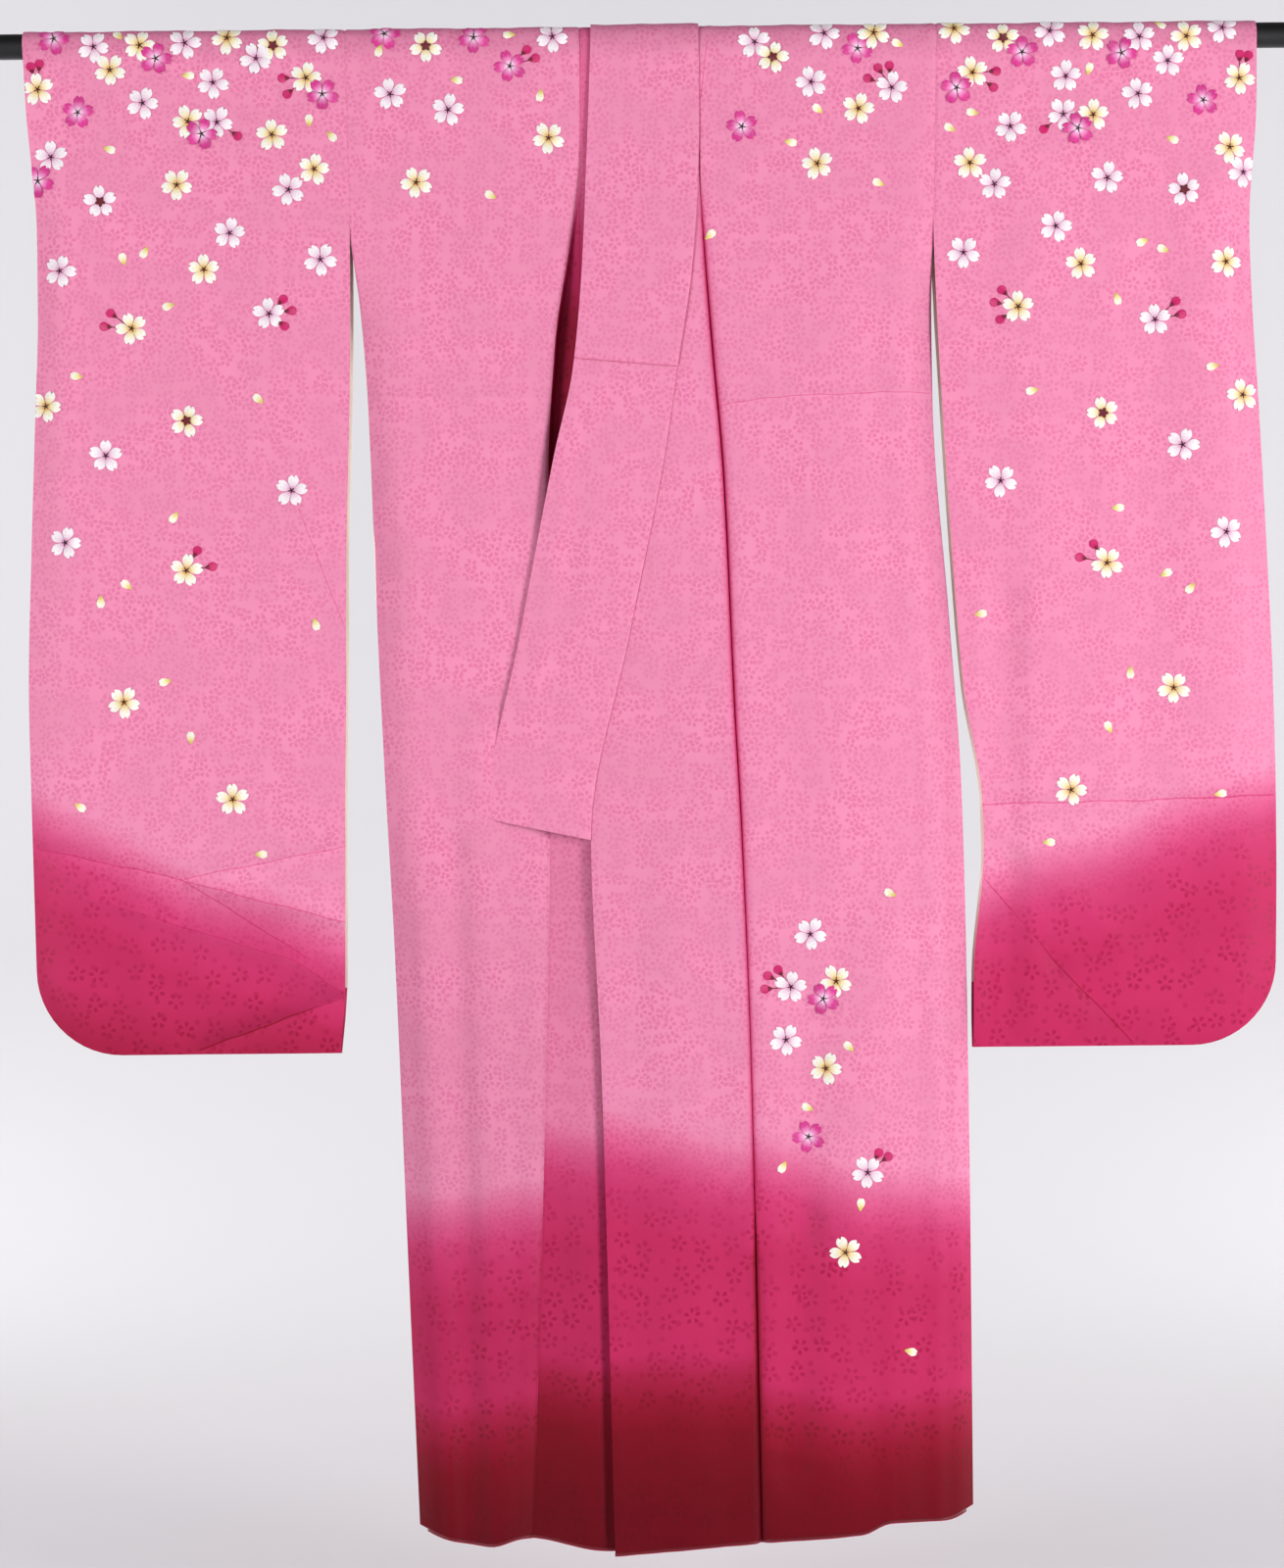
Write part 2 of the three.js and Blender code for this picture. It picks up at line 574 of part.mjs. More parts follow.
// A padded roll along a hem, just below the wall's lower edge, with a section at each station.
function hemRoll({ stations, hemAt, outAt, toPoint }) {
  const section = new THREE.Shape();
  section.absarc(0, 0, HEM_ROLL / 2, 0, 2 * Math.PI);
  const roll = new THREE.ExtrudeGeometry(section, {
    depth: stations.length - 1,
    steps: stations.length - 1,
    curveSegments: HEM_ROLL_SIDES / 2,
    bevelEnabled: false,
  });
  roll.rotateY(Math.PI / 2);
  const position = roll.getAttribute("position");
  for (let i = 0; i < position.count; i += 1) {
    const x = stations[Math.round(position.getX(i))];
    const drop = hemAt(x) - HEM_ROLL / 2;
    const middle = toPoint(x, outAt(x, drop), drop);
    position.setXYZ(i, x, middle.y + position.getY(i), middle.z + position.getZ(i));
  }
  return roll;
}

function rod() {
  const bar = new THREE.CylinderGeometry(ROD.diameter / 2, ROD.diameter / 2, ROD.length, ROD.sides);
  return bar.rotateZ(Math.PI / 2);
}

// ---- The garment ----

const garment = new THREE.Group();

function add(name, geometry, material) {
  const mesh = new THREE.Mesh(geometry, material);
  mesh.name = name;
  garment.add(mesh);
}

add("rod", rod(), blackSteel);

for (const sideName of ["right", "left"]) {
  add(`body_${sideName}`, bodyPanel(sideName), silk);
  add(`okumi_${sideName}`, okumi(sideName), silk);
  add(`sleeve_${sideName}`, sleeve(sideName), silk);
  add(`sleeve_lining_${sideName}`, sleeveLining(sideName), liningSilk);
}

const COLLAR_PLY = COLLAR_CLOTH + LAYER_GAP;
const underCollarOut = (x, drop) => underOut(x, drop) - (OVER_ROD - UNDER_COLLAR_OVER_ROD);
const overCollarOut = (x, drop) => leftCollarOut(x, drop) + COLLAR_PLY;
const collars = {
  collar_right: { sideName: "right", outAt: underCollarOut, raise: 0, endRow: COLLAR_END_ROW },
  collar_left: { sideName: "left", outAt: leftCollarOut, raise: COLLAR_PLY, endRow: COLLAR_END_ROW },
  over_collar: {
    sideName: "left",
    outAt: overCollarOut,
    raise: 2 * COLLAR_PLY,
    endRow: OVER_COLLAR_END_ROW,
  },
};
for (const [name, strip] of Object.entries(collars)) add(name, collarStrip(strip), silk);

// Each roll has its sections where the wall above it has its columns, and stops short of the
// side seam and of the next roll.
const atHem = (line) => line(NOMINAL_HEM);
function hemStations(columns, from, to) {
  const ends = [Math.min(from, to) + SEAM_GAP / 2, Math.max(from, to) - SEAM_GAP / 2];
  const inside = columns.filter((x) => x > ends[0] && x < ends[1]).sort((a, b) => a - b);
  return [ends[0], ...inside, ends[1]];
}
for (const sideName of ["right", "left"]) {
  const sideEdge = atHem(side[sideName]);
  const seam = atHem(okumiSeam[sideName]);
  const free = atHem(collarSeam[sideName]);
  const centre = atHem(centreBack);
  const neckEdge = centre + okumiSeam[sideName](0);
  const rollEnd = sideEdge - mirrorOf(sideName) * HEM_ROLL_END;
  const panelColumns = PANEL_COLUMNS.map((share) => lerp(sideEdge, seam, share));
  const okumiColumns = OKUMI_COLUMNS.map((share) => lerp(free, seam, share));
  const backColumns = PANEL_COLUMNS.map((share) => lerp(sideEdge, neckEdge, share));
  const centreColumns = countTo(CENTRE_COLUMNS).map((i) => lerp(neckEdge, centre, i / CENTRE_COLUMNS));
  const hemAt = { left: hem.top, right: hem.under }[sideName];
  const hemRolls = {
    body: {
      stations: hemStations(panelColumns, rollEnd, seam),
      hemAt,
      outAt: { left: leftPanelOut, right: rightPanelOut }[sideName],
      toPoint: frontPoint,
    },
    okumi: {
      stations: hemStations(okumiColumns, free, seam),
      hemAt,
      outAt: { left: leftOkumiOut, right: underOut }[sideName],
      toPoint: frontPoint,
    },
    back: {
      stations: hemStations([...backColumns, ...centreColumns], rollEnd, centre),
      hemAt: hem.back,
      outAt: (x, drop) => backOut(x, drop, side[sideName](drop)),
      toPoint: backPoint,
    },
  };
  for (const [piece, roll] of Object.entries(hemRolls)) {
    add(`hem_${piece}_${sideName}`, hemRoll(roll), hemSilk);
  }
}

export default garment;
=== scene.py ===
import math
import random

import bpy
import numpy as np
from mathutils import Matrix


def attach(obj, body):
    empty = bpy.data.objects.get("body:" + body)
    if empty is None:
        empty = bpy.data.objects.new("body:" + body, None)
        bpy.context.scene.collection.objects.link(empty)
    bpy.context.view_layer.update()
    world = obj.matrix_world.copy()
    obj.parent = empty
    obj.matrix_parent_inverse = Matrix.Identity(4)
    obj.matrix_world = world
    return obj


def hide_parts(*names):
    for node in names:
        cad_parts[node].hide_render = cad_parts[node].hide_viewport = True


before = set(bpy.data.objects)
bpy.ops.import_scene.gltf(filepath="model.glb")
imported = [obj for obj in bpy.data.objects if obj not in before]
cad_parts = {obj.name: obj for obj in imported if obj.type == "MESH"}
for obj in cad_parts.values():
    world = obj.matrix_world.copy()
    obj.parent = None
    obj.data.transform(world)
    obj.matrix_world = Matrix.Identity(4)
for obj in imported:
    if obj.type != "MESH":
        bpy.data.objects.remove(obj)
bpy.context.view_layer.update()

# A long-sleeved formal kimono (furisode) of pink silk, dyed crimson and dark red towards its
# hems, embroidered with cherry blossoms and hung over a black rod.
#
# Sizes are in millimetres and become metres where a mesh is made. +X is the wearer's left, -Y
# the front and +Z up, from the middle of the rod's axis. A "drop" is a distance below that
# axis. "Along" is the same distance measured in the cloth: down the front it is the drop, and
# over the rod and down the back it is negative. "Out" is how far a layer stands from the plane
# of the axis, to the front on front layers and to the back on back ones.

MM = 0.001

# ---- The garment's sizes ----

# They follow its solids. Here the sides and sleeves round away within less, sewn layers touch, and
# the under front's hem and the sleeves' back edges lie a little further in.
CLOTH = 1.5
COLLAR_CLOTH = 1.2
LINING = 1.0
LAYER_GAP = 0.3
OVER_ROD = 15.2
UNDER_COLLAR_OVER_ROD = 15.0

SHOULDER_SEAM_DROP = 205
SIDE_SEAM_DROP = 330
CUFF_OPEN_DROP = 60
CUFF_SEWN_DROP = 235
NECK_BACK_DROP = 28
COLLAR_END_SLANT = 862 / 887

SLEEVE_DROP = 1122
SLEEVE_CORNER = 92
SLEEVE_CUFF_REACH = 45
SLEEVE_BOTTOM_REACH = 45
FURI_SAG = 3
FURI_REACH = 60
BACK_FURI_EXTRA = 1.2
LINING_WIDTH = 20
LINING_DROPS = (190, 1050)

HEM_ROLL = 4.4
HEM_ROLL_END = 9
WALL_IN_ROLL = 0.8
BACK_LEAN = 46 / 1650
SIDE_REACH = 45
SEWN_OUT = CLOTH / 2

ROW_DROP = 52.2
FRONT_LENGTH = 32 * ROW_DROP
OKUMI_POINT = 1 * ROW_DROP
OVER_COLLAR_END = 7 * ROW_DROP
COLLAR_END = 17 * ROW_DROP
NOMINAL_HEM = 1660


def table(columns, *rows):
    """Rows of numbers under named columns."""
    return dict(zip(columns.split(), np.array(rows, float).T))


BODY_SIDES = table(
    "drop right left",
    (0, -328, 328),
    (205, -323.2, 323.2),
    (300, -313, 321),
    (400, -306, 321.5),
    (650, -298, 338),
    (830, -290.5, 349.5),
    (1000, -282.5, 353),
    (1350, -270.5, 355),
    (1660, -259.5, 355),
)
OKUMI_SEAMS = table(
    "drop right left",
    (0, -67, 65.4),
    (137, -68, 64.6),
    (220, -78.6, 68.3),
    (336, -97, 76.3),
    (488, -106, 88),
    (750, -107, 97.8),
    (880, -107.7, 104),
    (1150, -114.6, 112),
    (1660, -132.6, 118.3),
)
COLLAR_EDGES = table(
    "drop seam free",
    (0, 65, -54.5),
    (77, 65, -57.7),
    (137, 63.8, -60.5),
    (250, 55.8, -66),
    (365, 38.3, -77),
    (463, 23.2, -99),
    (660, -17.3, -138.5),
    (887, -62.2, -181),
    (1150, -52.8, -181),
    (1680, -42.7, -181),
)
SLEEVE_EDGES = table(
    "drop cuff_right furi_right cuff_left furi_left",
    (0, -684, -328, 683, 328),
    (80, -680, -326.1, 682, 326.1),
    (205, -672, -323.2, 675.5, 323.2),
    (300, -672, -323.6, 678, 326),
    (400, -675.5, -325.5, 683.5, 331),
    (560, -681.5, -330.5, 691, 340),
    (720, -686, -332.5, 697, 352),
    (850, -684, -335, 699, 372),
    (900, -683, -335.3, 699, 373),
    (1040, -680, -336.8, 697, 361),
    (1122, -678, -343, 695, 360),
)
LAYERS = table(
    "drop under top back sleeve",
    (0, 15.2, 15.2, 15.2, 15.2),
    (60, 15.4, 16.4, 15.2, 15.2),
    (137, 15.8, 19, 15.4, 15.2),
    (205, 16.4, 22, 15.8, 15.2),
    (300, 17.5, 26, 17, 14.5),
    (500, 21, 31, 19, 13.2),
    (880, 25, 36, 22, 11.5),
    (1250, 29, 40, 24, 11),
    (1680, 32, 44, 26, 11),
)
COLLAR_LIFT = table("drop lift", (0, 1.5), (60, 2.2), (137, 3.2), (300, 6), (488, 5), (900, 4))
UNDER_HEM = table("x drop", (-260, 1650), (-181, 1665), (-142, 1657), (-49, 1671), (62, 1658))
TOP_HEM = table(
    "x drop", (-43, 1675), (118, 1662), (229, 1654), (262, 1641), (321, 1640), (355, 1634)
)
BACK_HEM = table("x drop", (-260, 1650), (48, 1650), (355, 1634))

# Soft folds: a ridge, or a trough where the height is negative, along a line in the cloth.
FOLD_COLUMNS = "x0 drop0 x1 drop1 height reach"
BODY_FOLDS = table(
    FOLD_COLUMNS,
    (-184, 760, -172, 1660, 6, 34),
    (-213, 900, -199, 1660, -4, 24),
    (-250, 980, -240, 1660, 4, 30),
    (-290, 560, -236, 900, -3, 40),
    (-170, 240, -185, 660, 2.5, 50),
    (254, 1000, 214, 1311, 4.5, 46),
    (214, 1311, 198, 1580, 4.5, 46),
    (178, 1080, 164, 1311, -4, 34),
    (164, 1311, 150, 1580, -4, 34),
    (205, 300, 215, 900, 3, 60),
    (300, 700, 308, 1640, -4, 36),
    (262, 300, 285, 620, -2.5, 44),
)
COLLAR_FOLDS = table(
    FOLD_COLUMNS,
    (-64, 350, -122, 720, 1.3, 13),
    (-60, 350, -92, 640, -1.1, 12),
    (-52, 352, -62, 600, 1.1, 12),
    (-40, 380, -128, 860, -0.9, 14),
)
OKUMI_FOLDS = table(
    FOLD_COLUMNS,
    (30, 900, 42, 1640, 3, 44),
    (-20, 1000, -26, 1640, -2.5, 30),
)
UNDER_FOLDS = table(
    FOLD_COLUMNS,
    (-97, 880, -112, 1250, -3, 16),
    (-45, 860, -47, 1650, -3, 12),
)
BACK_FOLDS = table(
    FOLD_COLUMNS,
    (-150, 700, -130, 1650, 5, 60),
    (-60, 900, -40, 1650, -4, 50),
    (190, 600, 220, 1640, 5, 60),
    (110, 1000, 120, 1640, -4, 50),
)
SLEEVE_FOLDS = table(
    FOLD_COLUMNS,
    (-382, 519, -333, 660, 3, 40),
    (-640, 160, -628, 760, 3, 50),
    (-560, 240, -566, 820, -3, 50),
    (-400, 120, -410, 700, 3, 60),
    (398, 620, 392, 1110, -6, 34),
    (630, 180, 640, 760, 3, 55),
    (560, 260, 556, 820, -3, 50),
    (430, 140, 440, 700, 3, 50),
)

# Creases pressed in while the garment lay folded: narrower, with a sharp middle.
BODY_CREASES = table(
    FOLD_COLUMNS,
    (-304, 396, -104, 398, 0.9, 9),
    (-270, 1417, -119, 1419, 0.9, 10),
    (86, 410, 136, 401, 0.9, 9),
    (136, 401, 317, 395, 0.9, 9),
    (123, 868, 257, 854, 0.9, 9),
    (315, 1254, 352, 1242, 1.0, 9),
    (263, 1416, 339, 1415, 1.0, 9),
    (265, 1206, 260, 1648, 1.2, 14),
    (78, -8, 76.5, 14, 1.2, 4),
    (76, 20, 69, 55, -2.6, 4),
)
OKUMI_CREASES = table(FOLD_COLUMNS, (-6, 873, 105, 877, 0.8, 9))
BACK_CREASES = table(
    FOLD_COLUMNS,
    (-300, 402, 318, 398, 0.9, 9),
    (-284, 860, 350, 852, 0.9, 9),
    (-268, 1410, 352, 1402, 0.9, 9),
    (-232, 1010, -226, 1640, 1.2, 12),
    (276, 1100, 270, 1630, 1.2, 12),
)
# Beside those that run towards +X, light and shade are painted too: the colour is made lighter or
# darker by a share above and below the crease, as far as "beside".
SLEEVE_CREASES = table(
    FOLD_COLUMNS + " above below beside",
    (-679, 891, -517, 927, -2.6, 16, -0.06, 0.05, 26),
    (-517, 927, -335, 892, -2.2, 16, -0.05, 0.05, 26),
    (-514, 929, -336, 976, 3.4, 30, 0.06, -0.13, 40),
    (-514, 929, -373, 1019, -3.0, 22, 0, 0, 20),
    (-620, 947, -390, 1019, 4.4, 34, 0.06, -0.07, 30),
    (-390, 1019, -337, 1056, 3.4, 26, 0.06, -0.07, 24),
    (-502, 1118, -337, 1059, -5.0, 26, -0.2, 0.04, 36),
    (-382, 519, -333, 649, 1.6, 14, 0, 0, 20),
    (372, 852, 536, 848, -2.4, 16, -0.05, 0.05, 22),
    (536, 848, 696, 845, -2.4, 16, -0.05, 0.05, 22),
    (380, 870, 520, 1005, 4.0, 46, 0, 0, 20),
    (373, 933, 454, 1031, -2.6, 18, 0.05, -0.07, 40),
    (454, 1031, 536, 1117, -3.0, 22, 0.05, -0.07, 40),
    (392, 787, 388, 1100, 1.4, 14, 0, 0, 20),
)

# Drops between which each form grows from nothing to full.
GROWS = {
    "curl": (60, 250),
    "under_swell": (100, 400),
    "furi_past": (SHOULDER_SEAM_DROP, 260),
    "furi_sag": (SHOULDER_SEAM_DROP, 400),
    "cuff_seam": (CUFF_OPEN_DROP, CUFF_SEWN_DROP),
    "side_seam": (SHOULDER_SEAM_DROP, SIDE_SEAM_DROP),
}
CURL = 5
CURL_REACH = 16
UNDER_SWELL = 2
UNDER_SWELL_REACH = 60
# The under front falls away beside the collar's free edge, which stands off it.
RECESS = 14
RECESS_REACH = 4
RECESS_DROPS = (150, 330, 440, 600)
FREE_EDGE_LIFT = 5
# The left okumi's seam lies in a soft valley, with a crevice in its middle.
VALLEYS = table(
    "drop depth crevice",
    (0, 0, 0.6),
    (130, 0.5, 1),
    (250, 2, 4),
    (340, 3.5, 4.8),
    (480, 3.5, 4.8),
    (700, 2.5, 4),
    (1100, 2.5, 2.6),
    (1500, 3.5, 3),
    (1670, 4, 3.5),
)
VALLEY_REACH = 16
OKUMI_VALLEY_REACH = 5
CREVICE_REACH = 1.2
OKUMI_TURN = 1.5
OKUMI_TURN_REACH = 12
COLLAR_ON_OKUMI = 1.3
COLLAR_SEAM_REACH = 1.6
COLLAR_PLY = COLLAR_CLOTH + LAYER_GAP

# The cloth sinks a little where two pieces are sewn together.
SEAM_DIP = 1.2
SEAM_DIP_REACH = 1.8

# ---- The photo's view ----

PHOTO_MIDDLE = (655, 800)  # pixels across and down
MM_PER_PX = 1.09  # in the plane of the rod's axis
CAMERA_DISTANCE = 3500
CAMERA_PLACE = (-5.45, -CAMERA_DISTANCE, -826.2)
CAMERA_ROLL = math.radians(0.55)


def from_photo(across, down, out):
    """The x and drop that a pixel of the photo shows, on cloth that stands this far out."""
    dx, dy = across - PHOTO_MIDDLE[0], down - PHOTO_MIDDLE[1]
    cos, sin = math.cos(CAMERA_ROLL), math.sin(CAMERA_ROLL)
    scale = MM_PER_PX * (CAMERA_DISTANCE - out) / CAMERA_DISTANCE
    x = (dx * cos - dy * sin) * scale + CAMERA_PLACE[0]
    return x, (dx * sin + dy * cos) * scale - CAMERA_PLACE[2]


# ---- Shape helpers ----


def mix(a, b, t):
    return a + (b - a) * t


def smoothstep(x, low, high):
    t = np.clip((x - low) / (high - low), 0, 1)
    return t * t * (3 - 2 * t)


def grown(form, drop):
    return smoothstep(drop, *GROWS[form])


def ripple(waves, x):
    """A sum of waves, each as its height, how long it is and where it starts."""
    return sum(height * np.sin(x / length + turn) for height, length, turn in waves)


def curve(rows, column, along="drop"):
    """A smooth curve through one column of a table. It turns only at the rows."""
    at, value = rows[along], rows[column]
    slope = np.diff(value) / np.diff(at)
    before, after = slope[:-1], slope[1:]
    keeps_on = before * after > 0
    total = np.where(keeps_on, before + after, 1)
    inner = np.where(keeps_on, 2 * before * after / total, 0)
    tangent = np.concatenate([slope[:1], inner, slope[-1:]])

    def at_place(x):
        x = np.clip(x, at[0], at[-1])
        i = np.clip(np.searchsorted(at, x) - 1, 0, len(at) - 2)
        span = at[i + 1] - at[i]
        t = (x - at[i]) / span
        start = t * (1 - t) ** 2 * span * tangent[i]
        end = t * t * (t - 1) * span * tangent[i + 1]
        return mix(value[i], value[i + 1], (3 - 2 * t) * t * t) + start + end

    return at_place


def round_off(distance, reach):
    """0 at an edge, and 1 from reach inwards, as a layer rounds away from its seam."""
    return np.sin(math.pi / 2 * np.clip(distance / reach, 0, 1))


def seam_dip(distance):
    return SEAM_DIP * np.exp(-((distance / SEAM_DIP_REACH) ** 2))


def fold_profiles(folds, x, drop):
    """For each fold, its height and how far off a point is, from 0 on its line to 1."""
    for x0, drop0, x1, drop1, height, reach in zip(*(folds[name] for name in FOLD_COLUMNS.split())):
        dx, dd = x1 - x0, drop1 - drop0
        t = np.clip(((x - x0) * dx + (drop - drop0) * dd) / (dx * dx + dd * dd), 0, 1)
        away = np.hypot(x - x0 - t * dx, drop - drop0 - t * dd) / reach
        yield height, np.minimum(away, 1)


def soft_folds(folds, x, drop):
    return sum(height * (1 - away**2) ** 2 for height, away in fold_profiles(folds, x, drop))


def pressed_creases(creases, x, drop):
    return sum(height * (1 - away) ** 1.5 for height, away in fold_profiles(creases, x, drop))


# ---- The garment's lines ----

SIDES = ("right", "left")
MIRROR = {"right": -1, "left": 1}

side = {name: curve(BODY_SIDES, name) for name in SIDES}
okumi_seam = {name: curve(OKUMI_SEAMS, name) for name in SIDES}
layer = {name: curve(LAYERS, name) for name in ("under", "top", "back", "sleeve")}
collar_lift = curve(COLLAR_LIFT, "lift")
valley_depth = curve(VALLEYS, "depth")
crevice_depth = curve(VALLEYS, "crevice")
hem = {
    "under": curve(UNDER_HEM, "drop", "x"),
    "top": curve(TOP_HEM, "drop", "x"),
    "back": curve(BACK_HEM, "drop", "x"),
}
collar_seam = {"left": curve(COLLAR_EDGES, "seam")}
collar_free = {"left": curve(COLLAR_EDGES, "free")}
cuff = {name: curve(SLEEVE_EDGES, "cuff_" + name) for name in SIDES}
free_furi = {name: curve(SLEEVE_EDGES, "furi_" + name) for name in SIDES}


def right_collar_seam(drop):
    return okumi_seam["right"](drop) + okumi_seam["left"](drop) - collar_seam["left"](drop)


def right_collar_free(drop):
    return right_collar_seam(drop) + collar_seam["left"](drop) - collar_free["left"](drop)


collar_seam["right"] = right_collar_seam
collar_free["right"] = right_collar_free


def furi(name, drop):
    """A sleeve's inner edge: the shoulder seam, and its free edge below it."""
    return np.where(drop < SHOULDER_SEAM_DROP, side[name](drop), free_furi[name](drop))


def centre_back(drop):
    return BACK_LEAN * drop


# ---- How far out each layer stands ----


def from_side(flat, x, drop, name):
    """A layer that rounds down to its side seam."""
    edge = side[name](drop)
    at_side = mix(OVER_ROD, SEWN_OUT, grown("side_seam", drop))
    rounded = mix(at_side, flat, round_off(np.abs(x - edge), SIDE_REACH))
    return rounded - seam_dip(x - edge) * (1 - grown("side_seam", drop))


def curl(drop):
    return CURL * grown("curl", drop)


def right_panel_out(x, drop):
    seam = okumi_seam["right"](drop)
    curled = curl(drop) * (1 - round_off(seam - x, CURL_REACH))
    folds = soft_folds(BODY_FOLDS, x, drop) + pressed_creases(BODY_CREASES, x, drop)
    return from_side(layer["under"](drop), x, drop, "right") - curled + folds - seam_dip(x - seam)


def beside_collar(drop):
    """1 where the gap beside the collar's free edge is deepest, and 0 far above and below."""
    start, full, fades, end = RECESS_DROPS
    return smoothstep(drop, start, full) * (1 - smoothstep(drop, fades, end))


def under_out(x, drop):
    from_seam = x - okumi_seam["right"](drop)
    forward = smoothstep(from_seam, 0, UNDER_SWELL_REACH)
    swell = UNDER_SWELL * grown("under_swell", drop) + soft_folds(UNDER_FOLDS, x, drop)
    flat = layer["under"](drop) - curl(drop) + curl(drop) * forward + swell * forward
    recess = RECESS * beside_collar(drop) * smoothstep(from_seam, 0, RECESS_REACH)
    return flat - seam_dip(from_seam) - recess


def under_collar_out(x, drop):
    return under_out(x, drop) - (OVER_ROD - UNDER_COLLAR_OVER_ROD)


def left_panel_out(x, drop):
    from_seam = x - okumi_seam["left"](drop)
    valley = valley_depth(drop) * (1 - round_off(from_seam, VALLEY_REACH))
    valley = valley + crevice_depth(drop) * np.exp(-from_seam / CREVICE_REACH)
    folds = soft_folds(BODY_FOLDS, x, drop) + pressed_creases(BODY_CREASES, x, drop)
    return from_side(layer["top"](drop), x, drop, "left") - valley + folds


def left_okumi_out(x, drop):
    turn = OKUMI_TURN * (1 - round_off(x - collar_seam["left"](drop), OKUMI_TURN_REACH))
    to_seam = okumi_seam["left"](drop) - x
    valley = valley_depth(drop) * (1 - round_off(to_seam, OKUMI_VALLEY_REACH))
    valley = valley + crevice_depth(drop) * np.exp(-to_seam / CREVICE_REACH / 2)
    folds = soft_folds(OKUMI_FOLDS, x, drop) + pressed_creases(OKUMI_CREASES, x, drop)
    return layer["top"](drop) - turn - valley + folds


def left_collar_out(x, drop):
    free, seam = collar_free["left"](drop), collar_seam["left"](drop)
    at_free = layer["under"](drop) + collar_lift(drop) + FREE_EDGE_LIFT * beside_collar(drop)
    at_seam = COLLAR_ON_OKUMI * np.exp(-(((seam - x) / COLLAR_SEAM_REACH) ** 2))
    on_top = layer["top"](drop) + COLLAR_ON_OKUMI
    folds = soft_folds(COLLAR_FOLDS, x, drop)
    return mix(at_free, on_top, round_off(x - free, seam - free)) - at_seam + folds


def over_collar_out(x, drop):
    return left_collar_out(x, drop) + COLLAR_PLY


front_hem = {"right": hem["under"], "left": hem["top"]}
panel_out = {"right": right_panel_out, "left": left_panel_out}
okumi_out = {"right": under_out, "left": left_okumi_out}


def back_out(name):
    def out(x, drop):
        folds = soft_folds(BACK_FOLDS, x, drop) + pressed_creases(BACK_CREASES, x, drop)
        flat = from_side(layer["back"](drop), x, drop, name)
        return flat + folds - seam_dip(x - centre_back(drop)) * (drop > NECK_BACK_DROP)

    return out


def sleeve_bottom(share, width):
    """The drop of a sleeve's lower edge, round its outer corner."""
    in_corner = np.clip(SLEEVE_CORNER - share * width, 0, SLEEVE_CORNER)
    return SLEEVE_DROP - SLEEVE_CORNER + np.sqrt(SLEEVE_CORNER**2 - in_corner**2)


def sleeve_width(name):
    return abs(float(cuff[name](SLEEVE_DROP) - furi(name, SLEEVE_DROP)))


def sleeve_out(name):
    width = sleeve_width(name)

    def out(x, drop):
        from_cuff = np.abs(x - cuff[name](drop))
        from_furi = np.abs(x - furi(name, drop))
        share = from_cuff / (from_cuff + from_furi)
        at_cuff = mix(1, round_off(from_cuff, SLEEVE_CUFF_REACH), grown("cuff_seam", drop))
        at_bottom = round_off(sleeve_bottom(share, width) - drop, SLEEVE_BOTTOM_REACH)
        sag = FURI_SAG * grown("furi_sag", drop) * (1 - round_off(from_furi, FURI_REACH))
        folds = soft_folds(SLEEVE_FOLDS, x, drop) + pressed_creases(SLEEVE_CREASES, x, drop)
        sewn = seam_dip(from_furi) * (drop < SHOULDER_SEAM_DROP)
        full = layer["sleeve"](drop) - sag + folds - sewn
        return mix(SEWN_OUT, full, at_cuff * at_bottom)

    return out


# ---- Points on the cloth ----


# The cloth puckers a little where it lies over the rod.
PUCKERS = ((0.34, 23, 0), (0.24, 9, 2), (0.16, 4.3, 1))
PUCKER_DROP = 70


def pucker(x, drop):
    """How much further out the cloth stands, above a little below the rod."""
    return ripple(PUCKERS, x) * (1 - smoothstep(drop, 0, PUCKER_DROP))


class Hang:
    """A layer of cloth over the rod, from how far out its front and its back stand."""

    def __init__(self, front, back):
        self.front = front
        self.back = back

    def point(self, x, along):
        arc = math.pi * OVER_ROD
        drop = np.where(along >= 0, along, np.maximum(-along - arc, 0))
        angle = np.clip(-along / OVER_ROD, 0, math.pi)
        radius = mix(self.front(x, drop), self.back(x, drop), angle / math.pi)
        radius = radius + pucker(x, drop)
        y = -radius * np.cos(angle)
        z = radius * np.sin(angle) - drop
        return np.stack(np.broadcast_arrays(x, y, z), -1)


def over_back(drop):
    """The place along the cloth of a drop on the back."""
    return -math.pi * OVER_ROD - drop


hang = {}
for name in SIDES:
    hang["body_" + name] = Hang(panel_out[name], back_out(name))
    hang["sleeve_" + name] = Hang(sleeve_out(name), sleeve_out(name))

# ---- Where the dye changes ----

# Each panel turns from pink to crimson below one line, and to dark red below the next. The lines
# run from (x, drop) to (x, drop).
DYE_LENGTHS = (130, 174)
SLEEVE_DYE_LENGTHS = (130, 520)
